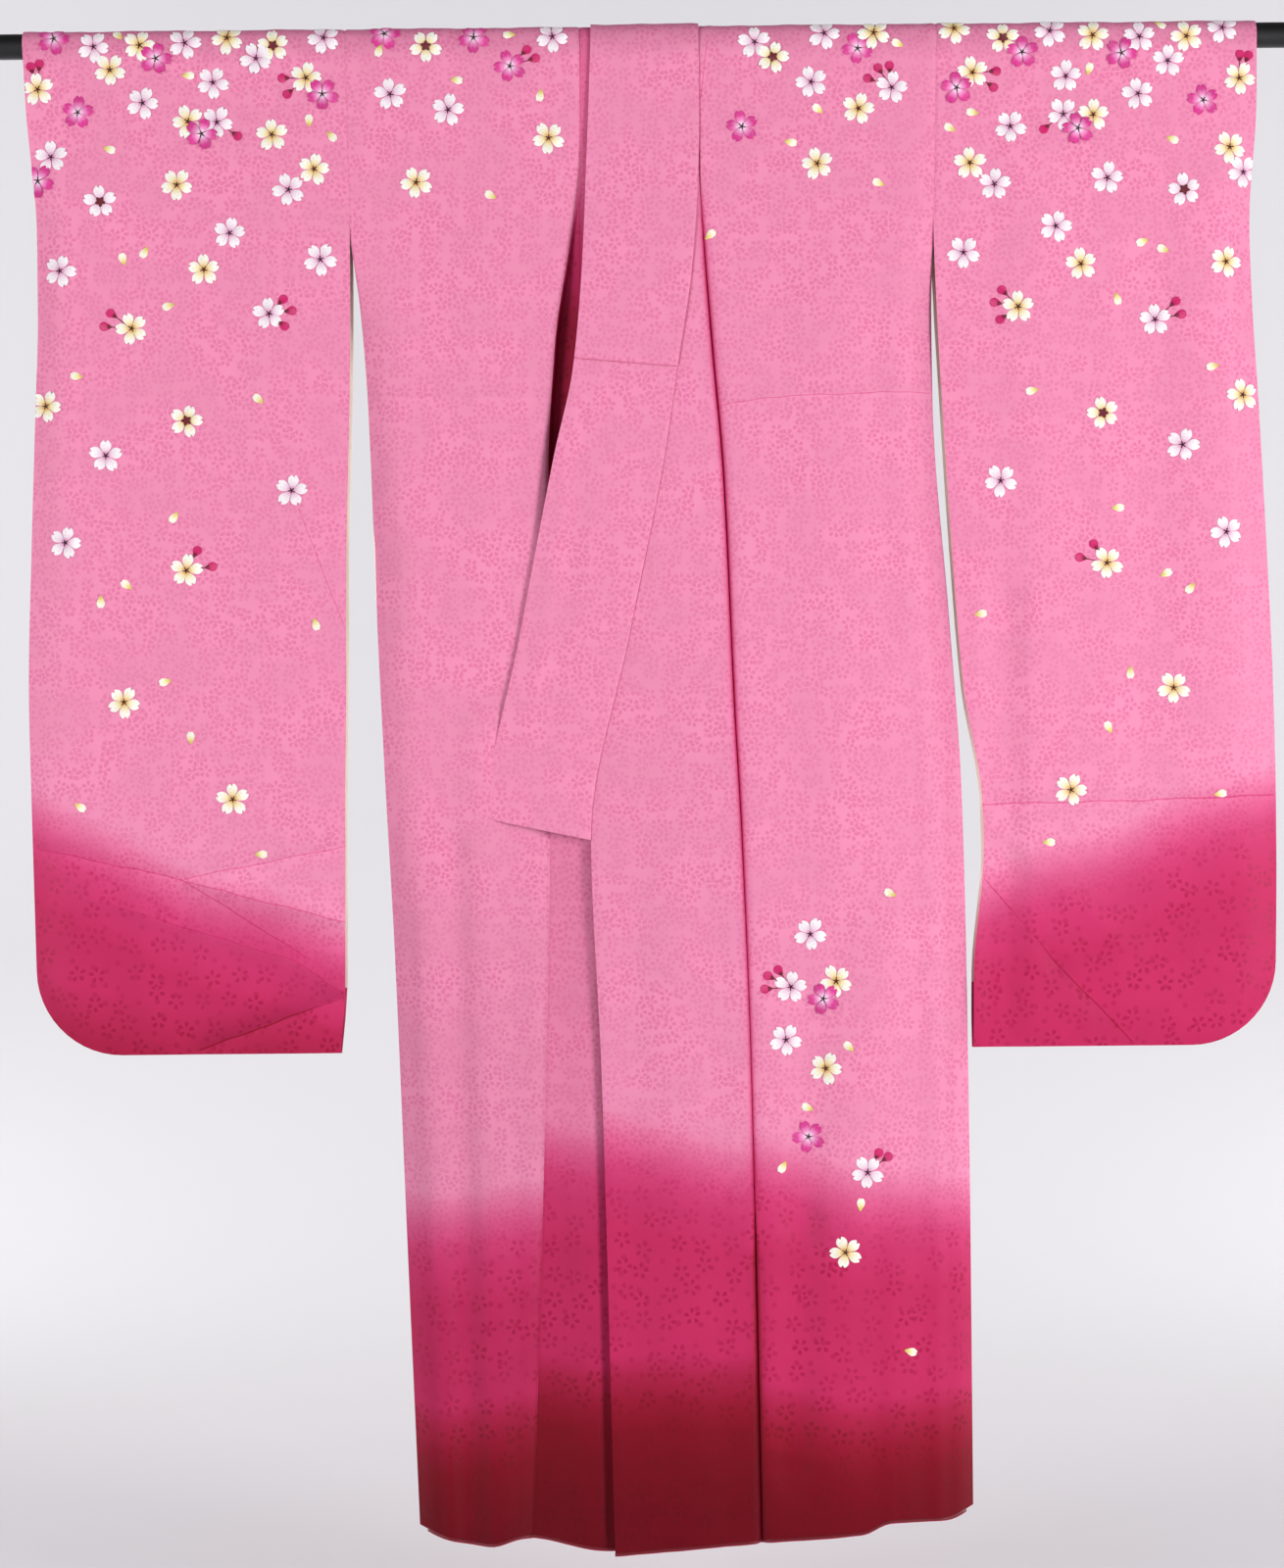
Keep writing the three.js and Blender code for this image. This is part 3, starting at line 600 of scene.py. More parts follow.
# Painted shade: the panels on the wearer's right, which lie lower and further back, get a little
# more dye, and the under okumi more still. Light that bounces about in a gap or along a seam
# reddens and darkens, and more dye there paints that in.
SHADE_DYE_DEPTHS = {"body_right": 1.02, "sleeve_right": 1.02, "okumi_right": 1.02}
SHADE_DYE_EVERYWHERE = {"okumi_right": 0.07}
GAP_SHADE_DYE = (0.22, 1.15)
SEAM_SHADE_DYE = 0.8
SEAM_SHADE_REACH = 2.2
DYE_LINES = {
    "body_right": ((-250, 1275, -110, 1272), (-250, 1514, -110, 1506)),
    "okumi_right": ((-110, 1205, -20, 1200), (-110, 1464, -20, 1456)),
    "okumi_left": ((-42, 1176, 118, 1218), (-42, 1448, 118, 1448)),
    "body_left": ((120, 1208, 340, 1268), (120, 1484, 340, 1502)),
    "sleeve_right": ((-679, 828, -345, 968), (-679, 1040, -345, 1070)),
    "sleeve_left": ((373, 930, 696, 800), (373, 1150, 696, 1090)),
    "back": ((-260, 1262, 355, 1240), (-260, 1508, 355, 1488)),
}
# The dyer's brush leaves the lines a little uneven.
BRUSH_WAVES = ((7, 97, 0.4), (4, 41, 1.9), (2.5, 23, 4.2))


def dye_and_shade_of(panel, x, drop):
    """0 in the pink, 1 in the crimson and 2 in the dark red, with a little more dye on some panels
    as painted shade.
    """
    total = 0
    uneven = ripple(BRUSH_WAVES, x)
    lengths = SLEEVE_DYE_LENGTHS if panel.startswith("sleeve") else DYE_LENGTHS
    for (x0, drop0, x1, drop1), length in zip(DYE_LINES[panel], lengths):
        line = drop0 + (x - x0) / (x1 - x0) * (drop1 - drop0) + uneven
        total = total + np.clip((drop - line) / length, 0, 1)
    everywhere = SHADE_DYE_EVERYWHERE.get(panel, 0) * (1 - smoothstep(total, 0.2, 1))
    return total * SHADE_DYE_DEPTHS.get(panel, 1) + everywhere


def gap_shade_dye(drop):
    """Painted shade: more dye on the under layers that show in the gap behind the collar's free
    edge.
    """
    return mix(*GAP_SHADE_DYE, beside_collar(drop)) * (1 - smoothstep(drop, 600, 700))


def seam_shade_dye(distance, drop):
    """Painted shade: more dye along the left okumi's seam, where it lies in a crevice."""
    strength = smoothstep(crevice_depth(drop), 0.5, 4)
    return SEAM_SHADE_DYE * strength * np.exp(-np.abs(distance / SEAM_SHADE_REACH))


# ---- Painted light and shade ----

# Painted shade: how much darker the cloth is made where it turns over the rod, by drop.
ROD_SHADE = 0.17
ROD_SHADE_DROPS = (0, 26)
# Painted shade: how much darker a panel is made on the front, and between which drops that grows.
PANEL_SHADES = {
    "body_right": (0.12, 760, 1180),
    "okumi_right": (0.1, 300, 880),
    "okumi_left": (0.04, 400, 900),
}
# Half the width over which the painted shade turns at a crease, and how far it fades past its ends.
CREASE_EDGE = 2.5
CREASE_FADE = 0.06


def line_place(x, drop, x0, drop0, x1, drop1):
    """How far along a line a point lies, from 0 to 1, and how far off it, in millimetres.

    Off is positive below a line that runs towards +X.
    """
    dx, dd = x1 - x0, drop1 - drop0
    length = math.hypot(dx, dd)
    share = ((x - x0) * dx + (drop - drop0) * dd) / length**2
    return share, ((drop - drop0) * dx - (x - x0) * dd) / length


def crease_side_shading(x, drop):
    """The painted light and shade beside the sleeves' pressed creases."""
    total = 0
    for x0, drop0, x1, drop1, _, _, above, below, reach in zip(*SLEEVE_CREASES.values()):
        share, off = line_place(x, drop, x0, drop0, x1, drop1)
        beside = np.clip(1 - np.abs(off) / reach, 0, 1) ** 1.5
        starts = smoothstep(share, -CREASE_FADE, CREASE_FADE)
        ends = starts * (1 - smoothstep(share, 1 - CREASE_FADE, 1 + CREASE_FADE))
        total = total + mix(above, below, smoothstep(off, -CREASE_EDGE, CREASE_EDGE)) * beside * ends
    return total


# Dark lines painted along the creases that show most, as painted shade in their valleys: a
# channel from 0 to 2, a half width and places on the line. Lines that meet are in different
# channels.
CREASE_SHADE_LINES = {
    "sleeve_right": (
        (0, 1.1, (-679, 891), (-517, 927), (-373, 1019)),
        (0, 1.5, (-502, 1118), (-337, 1059)),
        (1, 1.0, (-517, 927), (-335, 892)),
        (1, 0.9, (-600, 953), (-390, 1019), (-337, 1056)),
        (2, 0.9, (-514, 929), (-336, 976)),
        (2, 0.7, (-382, 519), (-333, 649)),
    ),
    "sleeve_left": (
        (0, 1.5, (372, 852), (536, 850), (696, 845)),
        (1, 1.1, (373, 933), (454, 1031), (536, 1117)),
    ),
    "body_left": (
        (0, 0.8, (86, 410), (136, 401), (317, 395)),
        (1, 0.9, (74, 6), (66.5, 70)),
    ),
}
NEAR_LINE = 12
FAR_FROM_LINES = 200
LINE_LAP = 0.01  # of its length, how far a line runs past each end
LINE_WAVES = ((0.6, 13, 0.3), (0.3, 5.3, 2.1))


def from_crease_shade_lines(panel, points):
    """How many half widths a point lies from the painted crease-shade lines, in the three channels.
    """
    x, drop = points[..., 0], -points[..., 2]
    drop = drop + ripple(LINE_WAVES, x)
    offsets = np.full(points.shape, float(FAR_FROM_LINES))
    for channel, width, *places in CREASE_SHADE_LINES.get(panel, ()):
        for start, end in zip(places, places[1:]):
            share, off = line_place(x, drop, *start, *end)
            off = off / width
            so_far = offsets[..., channel]
            closer = np.abs(off) < np.minimum(NEAR_LINE / width, np.abs(so_far))
            beside = (share > -LINE_LAP) & (share < 1 + LINE_LAP)
            offsets[..., channel] = np.where(closer & beside, off, so_far)
    return offsets


def painted_shading_of(panel, points):
    """The painted light and shade that the silk's colour is multiplied by."""
    x, drop = points[..., 0], -points[..., 2]
    tone = 1 - ROD_SHADE * (1 - smoothstep(drop, *ROD_SHADE_DROPS))
    if panel in PANEL_SHADES:
        most, low, high = PANEL_SHADES[panel]
        tone = tone * (1 - most * smoothstep(drop, low, high) * (points[..., 1] < 0))
    if panel.startswith("sleeve"):
        tone = tone * (1 + crease_side_shading(x, drop))
    return tone


# ---- Meshes ----


def new_piece(name, vertices, faces, materials, face_materials=None, attributes=()):
    """A mesh object with smooth faces. attributes are (name, kind, values by vertex)."""
    mesh = bpy.data.meshes.new(name)
    mesh.from_pydata((vertices * MM).tolist(), [], faces)
    for material in materials:
        mesh.materials.append(material)
    if face_materials is not None:
        mesh.polygons.foreach_set("material_index", np.asarray(face_materials, np.int32))
    for key, kind, values in attributes:
        field = {"FLOAT": "value", "FLOAT_VECTOR": "vector", "FLOAT_COLOR": "color"}[kind]
        data = mesh.attributes.new(key, kind, "POINT").data
        data.foreach_set(field, np.asarray(values, np.float32).ravel())
    mesh.polygons.foreach_set("use_smooth", np.ones(len(mesh.polygons), bool))
    mesh.set_sharp_from_angle(angle=math.radians(60))
    piece = bpy.data.objects.new(name, mesh)
    bpy.context.scene.collection.objects.link(piece)
    return piece


def stand_for(piece, slot, *nodes):
    """The piece rides on the one body, in the place of these CAD nodes."""
    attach(piece, "root")
    if nodes:
        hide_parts(*nodes)


def outward_normals(points):
    """Normals of a grid, square to X, for rows that run from the front hem up and over."""
    across = np.gradient(points, axis=1)
    along = np.gradient(points, axis=0)
    normals = np.cross(across, along)
    normals[..., 0] = 0
    length = np.linalg.norm(normals, axis=-1, keepdims=True)
    return normals / np.maximum(length, 1e-9)


def shell(name, points, thickness, attributes, materials, is_cloth=None):
    """A closed thin wall about a grid of points, which lie in its middle.

    attributes are (name, kind, values by grid point). The first material is outside and on the
    rim, and the last inside.
    """
    rows, columns = points.shape[:2]
    cells = np.ones((rows - 1, columns - 1), bool) if is_cloth is None else is_cloth
    offset = outward_normals(points) * thickness / 2
    vertices = np.concatenate([(points + offset).reshape(-1, 3), (points - offset).reshape(-1, 3)])
    index = np.arange(rows * columns).reshape(rows, columns)
    inside = rows * columns

    r, c = np.nonzero(cells)
    corners = [index[r, c], index[r, c + 1], index[r + 1, c + 1], index[r + 1, c]]
    outer = np.stack(corners, -1)
    inner = outer[:, ::-1] + inside
    padded = np.pad(cells, 1)
    rims = []
    for k, (dr, dc) in enumerate([(-1, 0), (0, 1), (1, 0), (0, -1)]):
        bare = ~padded[r + 1 + dr, c + 1 + dc]
        start, end = corners[k][bare], corners[(k + 1) % 4][bare]
        rims.append(np.stack([end, start, start + inside, end + inside], -1))
    faces = np.concatenate([outer, inner, *rims])
    which = np.zeros(len(faces), int)
    which[len(outer) : 2 * len(outer)] = len(materials) - 1

    used, faces = np.unique(faces, return_inverse=True)
    doubled = [
        (key, kind, np.concatenate([values.reshape(inside, -1)] * 2)[used])
        for key, kind, values in attributes
    ]
    faces = faces.reshape(-1, 4).tolist()
    return new_piece(name, vertices[used], faces, materials, which, doubled)


# The panels' places in the flat cloth are this far apart, so that their weaves differ.
FLAT_SHIFTS = {"body": 1000, "okumi": 2000, "collar": 3000, "sleeve": 4000}
COLLAR_SHIFT_STEP = 500  # for each millimetre that a collar strip lies higher


def cloth_attributes(panel, points, along, shift, dye_and_shade):
    """Where each point lies in the flat cloth, in millimetres, and what the silk shows there."""
    flat = np.stack(np.broadcast_arrays(points[..., 0] + shift, along, 0), -1)
    return [
        ("flat", "FLOAT_VECTOR", flat),
        ("dye_and_shade", "FLOAT", dye_and_shade),
        ("tone", "FLOAT", painted_shading_of(panel, points)),
        ("creases", "FLOAT_VECTOR", from_crease_shade_lines(panel, points)),
    ]


CLOSE_PLACES = (0.6, 1.3, 2.2, 3.4)


def spread(length, step, close_to=(0, 1)):
    """Shares of a length, with steps near to `step` and closer ones by the ends named."""
    places = list(np.linspace(0, length, max(2, round(length / step)) + 1))
    for end in close_to:
        places += [abs(end * length - near) for near in CLOSE_PLACES]
    return np.unique(np.round(places, 3)) / length


# For the meshes' columns and rows alone: about how wide the pieces are, how many columns a sleeve
# has in its round corner and beyond it, and the steps elsewhere.
PANEL_WIDTH = 260
NECK_WIDTH = 60
OKUMI_WIDTH = 160
COLLAR_WIDTH = 120
CORNER_COLUMNS = 14
SLEEVE_COLUMNS = 52
STEP_ACROSS = 5.8
STEP_ALONG = 7.5
STEP_ON_ROD = 8  # steps over the rod's upper half


def steps_down(first, last, fine=(), fine_step=3):
    """Drops from first to last, finer within the (low, high) bands."""
    drops = [np.arange(first, last, STEP_ALONG), [last]]
    drops += [np.arange(low, high, fine_step) for low, high in fine]
    together = np.unique(np.round(np.concatenate(drops), 2))
    return together[(together >= first) & (together <= last)]


CREASE_BANDS = ((385, 421), (845, 888), (1240, 1262), (1404, 1430))
SLEEVE_CREASE_BANDS = ((510, 540), (835, SLEEVE_DROP - 4))
ON_ROD = np.linspace(0, math.pi, STEP_ON_ROD + 2)[1:-1, None]


def lay(x, out, drop, face):
    """Points of a front or back layer."""
    sign = -1 if face == "front" else 1
    return np.stack(np.broadcast_arrays(x, sign * (out + pucker(x, drop)), -drop), -1)


def round_rod(x, front_radius, back_radius):
    """Rows of points over the rod, from the front to the back."""
    radius = mix(front_radius, back_radius, ON_ROD / math.pi) + pucker(x, 0)
    return np.stack(np.broadcast_arrays(x, -radius * np.cos(ON_ROD), radius * np.sin(ON_ROD)), -1)


def level_to_hem(level, end):
    """Drops that are level near the rod and run along the hem at a wall's end."""
    return level + (end - FRONT_LENGTH) * (level / FRONT_LENGTH) ** 4


def wall_end(hem_at, x_at):
    return hem_at(x_at(NOMINAL_HEM)) - HEM_ROLL + WALL_IN_ROLL


def join_rows(front, rod, back):
    """Points and places along the cloth, of a piece over the rod."""
    points = np.concatenate([front[::-1], rod, back])
    shape = points.shape[:2]
    along = np.empty(shape)
    along[: len(front)] = -front[::-1, :, 2]
    along[len(front) : len(front) + len(rod)] = -ON_ROD * OVER_ROD
    along[len(front) + len(rod) :] = over_back(-back[..., 2])
    return points, along


def body_panel(name, materials):
    panel = "body_" + name
    front_out = panel_out[name]
    back = back_out(name)

    outer = spread(PANEL_WIDTH, STEP_ACROSS)
    inwards = spread(NECK_WIDTH, STEP_ACROSS, close_to=(1,))[1:]
    share = np.concatenate([outer, np.ones(len(inwards))])
    to_centre = np.concatenate([np.zeros(len(outer)), inwards])
    if name == "left":
        share, to_centre = share[::-1], to_centre[::-1]

    def front_x(drop):
        return mix(side[name](drop), okumi_seam[name](drop), share)

    def back_x(drop):
        at_neck = centre_back(drop) + okumi_seam[name](0)
        return mix(mix(side[name](drop), at_neck, share), centre_back(drop), to_centre)

    level = steps_down(0, FRONT_LENGTH, CREASE_BANDS)[:, None]
    drop = level_to_hem(level, wall_end(front_hem[name], front_x))
    front = lay(front_x(drop), front_out(front_x(drop), drop), drop, "front")

    neck = np.linspace(0, NECK_BACK_DROP, 6)[:, None]
    shares = steps_down(NECK_BACK_DROP, NOMINAL_HEM, CREASE_BANDS)[1:, None]
    shares = (shares - NECK_BACK_DROP) / (NOMINAL_HEM - NECK_BACK_DROP)
    below = mix(NECK_BACK_DROP, wall_end(hem["back"], back_x), shares)
    back_drop = np.concatenate([np.broadcast_to(neck, (len(neck), len(share))), below])
    behind = lay(back_x(back_drop), back(back_x(back_drop), back_drop), back_drop, "back")
    over = round_rod(front_x(0), front_out(front_x(0), 0), back(front_x(0), 0))

    points, along = join_rows(front, over, behind)
    is_front = np.arange(len(points))[:, None] < len(front) + len(over)
    x, drops = points[..., 0], -points[..., 2]
    dye_and_shade = np.where(is_front, dye_and_shade_of(panel, x, drops), dye_and_shade_of("back", x, drops))
    if name == "left":
        dye_and_shade = dye_and_shade + is_front * seam_shade_dye(x - okumi_seam[name](drops), drops)
    beside_neck = np.maximum(to_centre[:-1], to_centre[1:]) == 0
    below_neck = np.arange(len(points) - 1) >= len(front) + len(over) + len(neck) - 1
    attributes = cloth_attributes(panel, points, along, FLAT_SHIFTS["body"] * MIRROR[name], dye_and_shade)
    is_cloth = beside_neck[None, :] | below_neck[:, None]
    return shell(panel, points, CLOTH, attributes, materials, is_cloth)


def okumi(name, materials):
    panel = "okumi_" + name
    out = okumi_out[name]
    share = spread(OKUMI_WIDTH, STEP_ACROSS)
    if name == "right":
        share = share[::-1]

    def x_at(drop):
        width = np.maximum(MIRROR[name] * (okumi_seam[name](drop) - collar_seam[name](drop)), 0.01)
        return collar_seam[name](drop) + MIRROR[name] * width * share

    level = steps_down(OKUMI_POINT, FRONT_LENGTH, CREASE_BANDS)[::-1, None]
    drop = level_to_hem(level, wall_end(front_hem[name], x_at))
    points = lay(x_at(drop), out(x_at(drop), drop), drop, "front")
    dye_and_shade = dye_and_shade_of(panel, points[..., 0], drop)
    if name == "left":
        dye_and_shade = dye_and_shade + seam_shade_dye(points[..., 0] - okumi_seam[name](drop), drop)
    else:
        dye_and_shade = dye_and_shade + gap_shade_dye(drop)
    attributes = cloth_attributes(panel, points, drop, FLAT_SHIFTS["okumi"] * MIRROR[name], dye_and_shade)
    return shell(panel, points, CLOTH, attributes, materials)


GROOVE = 2.2  # where the over-collar ends, sewn down on the collar
GROOVE_REACH = 1.3


def collar_strip(piece, name, out, rise, end, materials):
    """A collar strip from its slanting lower end over the rod to the back neckline."""
    share = spread(COLLAR_WIDTH, STEP_ACROSS)
    if name == "right":
        share = share[::-1]

    def x_at(drop):
        return mix(collar_free[name](drop), collar_seam[name](drop), share)

    radius = UNDER_COLLAR_OVER_ROD + rise
    by_groove = (OVER_COLLAR_END - 2 * GROOVE_REACH, OVER_COLLAR_END + 2 * GROOVE_REACH)
    level = steps_down(0, end, fine=(by_groove,), fine_step=0.7)[:, None]
    drop = level * mix(COLLAR_END_SLANT, 1, share)
    groove = GROOVE * np.exp(-(((level - OVER_COLLAR_END) / GROOVE_REACH) ** 2))
    front_out = np.where(drop > 0, out(x_at(drop), drop) - groove, radius)
    front = lay(x_at(drop), front_out, drop, "front")
    over = round_rod(x_at(0), radius, radius)
    back_drop = np.linspace(0, NECK_BACK_DROP, 5)[:, None]
    points, along = join_rows(front, over, lay(x_at(0), radius, back_drop, "back"))
    dye_and_shade = gap_shade_dye(-points[..., 2]) if name == "right" else 0 * along
    shift = FLAT_SHIFTS["collar"] + COLLAR_SHIFT_STEP * rise
    attributes = cloth_attributes(piece, points, along, shift, dye_and_shade)
    return shell(piece, points, COLLAR_CLOTH, attributes, materials)


LINING_SHARES = spread(LINING_WIDTH, 5, close_to=(0,))


def sleeve_grid(name):
    """Points and places along the cloth, from the bottom seam over the shoulder and back to it."""
    width = sleeve_width(name)
    out = sleeve_out(name)
    corner_angles = np.linspace(0, math.pi / 2, CORNER_COLUMNS)
    corner = SLEEVE_CORNER * (1 - np.cos(corner_angles)) / width
    rest = np.linspace(SLEEVE_CORNER, width - LINING_WIDTH, SLEEVE_COLUMNS) / width
    edge = 1 - LINING_SHARES[::-1] * LINING_WIDTH / width
    share = np.concatenate([corner[:-1], rest, edge[1:]])
    if name == "left":
        share = share[::-1]

    def x_at(drop, past=0):
        inner = furi(name, drop) - MIRROR[name] * past * grown("furi_past", drop)
        return mix(cuff[name](drop), inner, share)

    level = steps_down(0, SLEEVE_DROP, SLEEVE_CREASE_BANDS)[:, None] / SLEEVE_DROP
    drop = level * sleeve_bottom(share, width)
    front = lay(x_at(drop), out(x_at(drop), drop), drop, "front")
    back_x = x_at(drop, BACK_FURI_EXTRA)
    back = lay(back_x, out(back_x, drop), drop, "back")
    over = round_rod(x_at(0), out(x_at(0), 0), out(x_at(0), 0))
    return join_rows(front, over, back)


def sleeve(name, materials):
    panel = "sleeve_" + name
    points, along = sleeve_grid(name)
    dye_and_shade = dye_and_shade_of(panel, points[..., 0], -points[..., 2])
    attributes = cloth_attributes(panel, points, along, FLAT_SHIFTS["sleeve"] * MIRROR[name], dye_and_shade)
    return shell(panel, points, CLOTH, attributes, materials)


def sleeve_lining(name, materials):
    """The strip of lining that shows just inside a sleeve's back layer, along its open edge."""
    points, along = sleeve_grid(name)
    first, last = (over_back(drop) for drop in LINING_DROPS)
    count = len(LINING_SHARES)
    columns = slice(count) if name == "left" else slice(-count, None)
    edge = 0 if name == "left" else -1
    rows = (along[:, edge] <= first) & (along[:, edge] >= last)
    strip = points[rows, columns]
    strip[..., 1] -= (CLOTH + LINING) / 2 + LAYER_GAP
    strip_along = along[rows, columns]
    attributes = cloth_attributes("lining", strip, strip_along, 0, 0 * strip_along)
    return shell("sleeve_lining_" + name, strip, LINING, attributes, materials)


# ---- Padded hem rolls ----

HEM_ROLL_SIDES = 12
HEM_DYE = (2.0, 0.35)  # on the face and underneath
HEM_SWELLS = ((0.05, 13, 0), (0.04, 5.3, 2))  # uneven wadding, as shares of the roll's radius


def hem_roll(piece, first, last, hem_at, out, face, material):
    """A roll just below a wall's lower edge, with dye that fades underneath."""
    x = np.linspace(first, last, max(8, round(abs(last - first) / 6)))[:, None]
    angle = np.linspace(0, 2 * math.pi, HEM_ROLL_SIDES, endpoint=False)
    drop = hem_at(x) - HEM_ROLL / 2
    radius = HEM_ROLL / 2 * (1 + ripple(HEM_SWELLS, x))
    middle = lay(x, out(x, drop), drop, face)
    points = np.broadcast_to(middle, (len(x), HEM_ROLL_SIDES, 3)).copy()
    points[..., 1] += radius * np.cos(angle)
    points[..., 2] += radius * np.sin(angle)
    index = np.arange(points.shape[0] * HEM_ROLL_SIDES).reshape(-1, HEM_ROLL_SIDES)
    turned = np.roll(index, -1, axis=1)
    walls = np.stack([index[:-1], index[1:], turned[1:], turned[:-1]], -1).reshape(-1, 4)
    faces = walls.tolist() + [index[0].tolist(), index[-1, ::-1].tolist()]
    under = smoothstep(-np.sin(angle), 0.2, 0.9)
    dye_and_shade = np.broadcast_to(mix(*HEM_DYE, under), index.shape)
    flat = np.stack(np.broadcast_arrays(x, angle * HEM_ROLL / 2, 0), -1)
    attributes = [("dye_and_shade", "FLOAT", dye_and_shade), ("flat", "FLOAT_VECTOR", flat)]
    return new_piece(piece, points.reshape(-1, 3), faces, [material], attributes=attributes)


# ---- Materials ----


def colour(red, green, blue):
    """A shader colour from screen values of 0 to 255."""
    values = np.array([red, green, blue]) / 255
    linear = np.where(values < 0.04045, values / 12.92, ((values + 0.055) / 1.055) ** 2.4)
    return (*linear.tolist(), 1.0)


class Shader:
    """A material's nodes. Inputs are plain values or other nodes' outputs."""

    def __init__(self, name):
        self.material = bpy.data.materials.new(name)
        self.material.use_nodes = True
        self.tree = self.material.node_tree
        self.surface = self.tree.nodes["Principled BSDF"]

    def node(self, kind, **settings):
        node = self.tree.nodes.new("ShaderNode" + kind)
        for key, value in settings.items():
            setattr(node, key, value)
        return node

    def set(self, socket, value):
        if isinstance(value, bpy.types.NodeSocket):
            self.tree.links.new(value, socket)
        else:
            socket.default_value = value

    def attribute(self, name, output):
        node = self.node("Attribute", attribute_name=name)
        return node.outputs[output]

    def math(self, operation, *values, clamp=False):
        node = self.node("Math", operation=operation, use_clamp=clamp)
        for socket, value in zip(node.inputs, values):
            self.set(socket, value)
        return node.outputs[0]

    def vector(self, operation, first, second=None, scale=None):
        node = self.node("VectorMath", operation=operation)
        self.set(node.inputs[0], first)
        if second is not None:
            self.set(node.inputs[1], second)
        if scale is not None:
            self.set(node.inputs["Scale"], scale)
        return node.outputs["Value" if operation in ("LENGTH", "DOT_PRODUCT") else "Vector"]

    def between(self, value, low, high, to_low=0.0, to_high=1.0):
        """A smooth step from to_low to to_high, as value goes from low to high."""
        node = self.node("MapRange", interpolation_type="SMOOTHSTEP")
        for socket, given in zip(node.inputs, (value, low, high, to_low, to_high)):
            self.set(socket, given)
        return node.outputs[0]

    def blend(self, share, first, second):
        node = self.node("Mix", data_type="RGBA")
        self.set(node.inputs["Factor"], share)
        self.set(node.inputs["A"], first)
        self.set(node.inputs["B"], second)
        return next(out for out in node.outputs if out.type == "RGBA")

    def noise(self, vector, size, detail=2.0, roughness=0.5):
        node = self.node("TexNoise")
        self.set(node.inputs["Vector"], vector)
        node.inputs["Scale"].default_value = 1 / size
        node.inputs["Detail"].default_value = detail
        node.inputs["Roughness"].default_value = roughness
        return node.outputs[0]

    def ramp(self, value, stops):
        """Colours at places from 0 to 1."""
        node = self.node("ValToRGB")
        elements = node.color_ramp.elements
        while len(elements) < len(stops):
            elements.new(0.5)
        for element, (place, shade) in zip(elements, stops):
            element.position = place
            element.color = shade
        self.set(node.inputs[0], value)
        return node.outputs["Color"]

    def bump(self, height, distance, strength=1.0, below=None):
        node = self.node("Bump")
        node.inputs["Strength"].default_value = strength
        node.inputs["Distance"].default_value = distance * MM
        self.set(node.inputs["Height"], height)
        if below is not None:
            self.set(node.inputs["Normal"], below)
        return node.outputs[0]

    def finish(self, **sockets):
        for name, value in sockets.items():
            self.set(self.surface.inputs[name.replace("_", " ")], value)
        return self.material


# Shares of the dye's whole range, from the pink through the crimson to the dark red.
SILK_DYE = (
    (0.0, colour(222, 134, 168)),
    (0.08, colour(215, 110, 150)),
    (0.165, colour(206, 83, 130)),
    (0.25, colour(196, 61, 110)),
    (0.34, colour(190, 50, 100)),
    (0.5, colour(183, 41, 89)),
    (0.57, colour(161, 30, 66)),
    (0.65, colour(141, 19, 46)),
    (0.74, colour(122, 12, 31)),
    (0.86, colour(110, 9, 26)),
    (1.0, colour(102, 7, 23)),
)
PETAL_DYE = (
    (0.0, colour(208, 108, 148)),
    (0.12, colour(198, 80, 124)),
    (0.25, colour(174, 39, 86)),
    (0.5, colour(155, 23, 64)),
    (0.62, colour(122, 18, 34)),
    (1.0, colour(92, 10, 20)),
)
LINING_DYE = (
    (0.0, colour(240, 230, 214)),
    (0.1, colour(232, 170, 185)),
    (0.3, colour(205, 75, 118)),
    (0.5, colour(180, 45, 85)),
    (1.0, colour(120, 22, 40)),
)


def woven_blossoms(shader, flat, cell, petal_at, petal_long, petal_wide, shift):
    """1 on the petals of small five-petalled blossoms strewn over the cloth, 0 between them."""
    scaled = shader.vector("SCALE", shader.vector("ADD", flat, shift), scale=1 / cell)
    cells = shader.node("TexVoronoi", voronoi_dimensions="2D")
    shader.set(cells.inputs["Vector"], scaled)
    cells.inputs["Scale"].default_value = 1
    cells.inputs["Randomness"].default_value = 0.7
    from_middle = shader.vector("SUBTRACT", scaled, cells.outputs["Position"])
    parts = shader.node("SeparateXYZ")
    shader.set(parts.inputs[0], shader.vector("SCALE", from_middle, scale=cell))
    draw = shader.node("SeparateColor")
    shader.set(draw.inputs[0], cells.outputs["Color"])

    reach = shader.vector("LENGTH", shader.vector("SCALE", from_middle, scale=cell))
    heading = shader.math("ARCTAN2", parts.outputs[1], parts.outputs[0])
    turned = shader.math("MULTIPLY_ADD", draw.outputs[0], 2 * math.pi, heading)
    in_petal = shader.math("WRAP", turned, math.pi / 5, -math.pi / 5)
    along = shader.math("MULTIPLY_ADD", reach, shader.math("COSINE", in_petal), -petal_at)
    across = shader.math("MULTIPLY", reach, shader.math("SINE", in_petal))
    along = shader.math("DIVIDE", along, petal_long)
    width = shader.math("MULTIPLY_ADD", along, petal_wide * 0.4, petal_wide)
    across = shader.math("DIVIDE", across, width)
    squares = shader.math("ADD", shader.math("POWER", along, 2.0), shader.math("POWER", across, 2.0))
    return shader.between(squares, 1.25, 0.6)


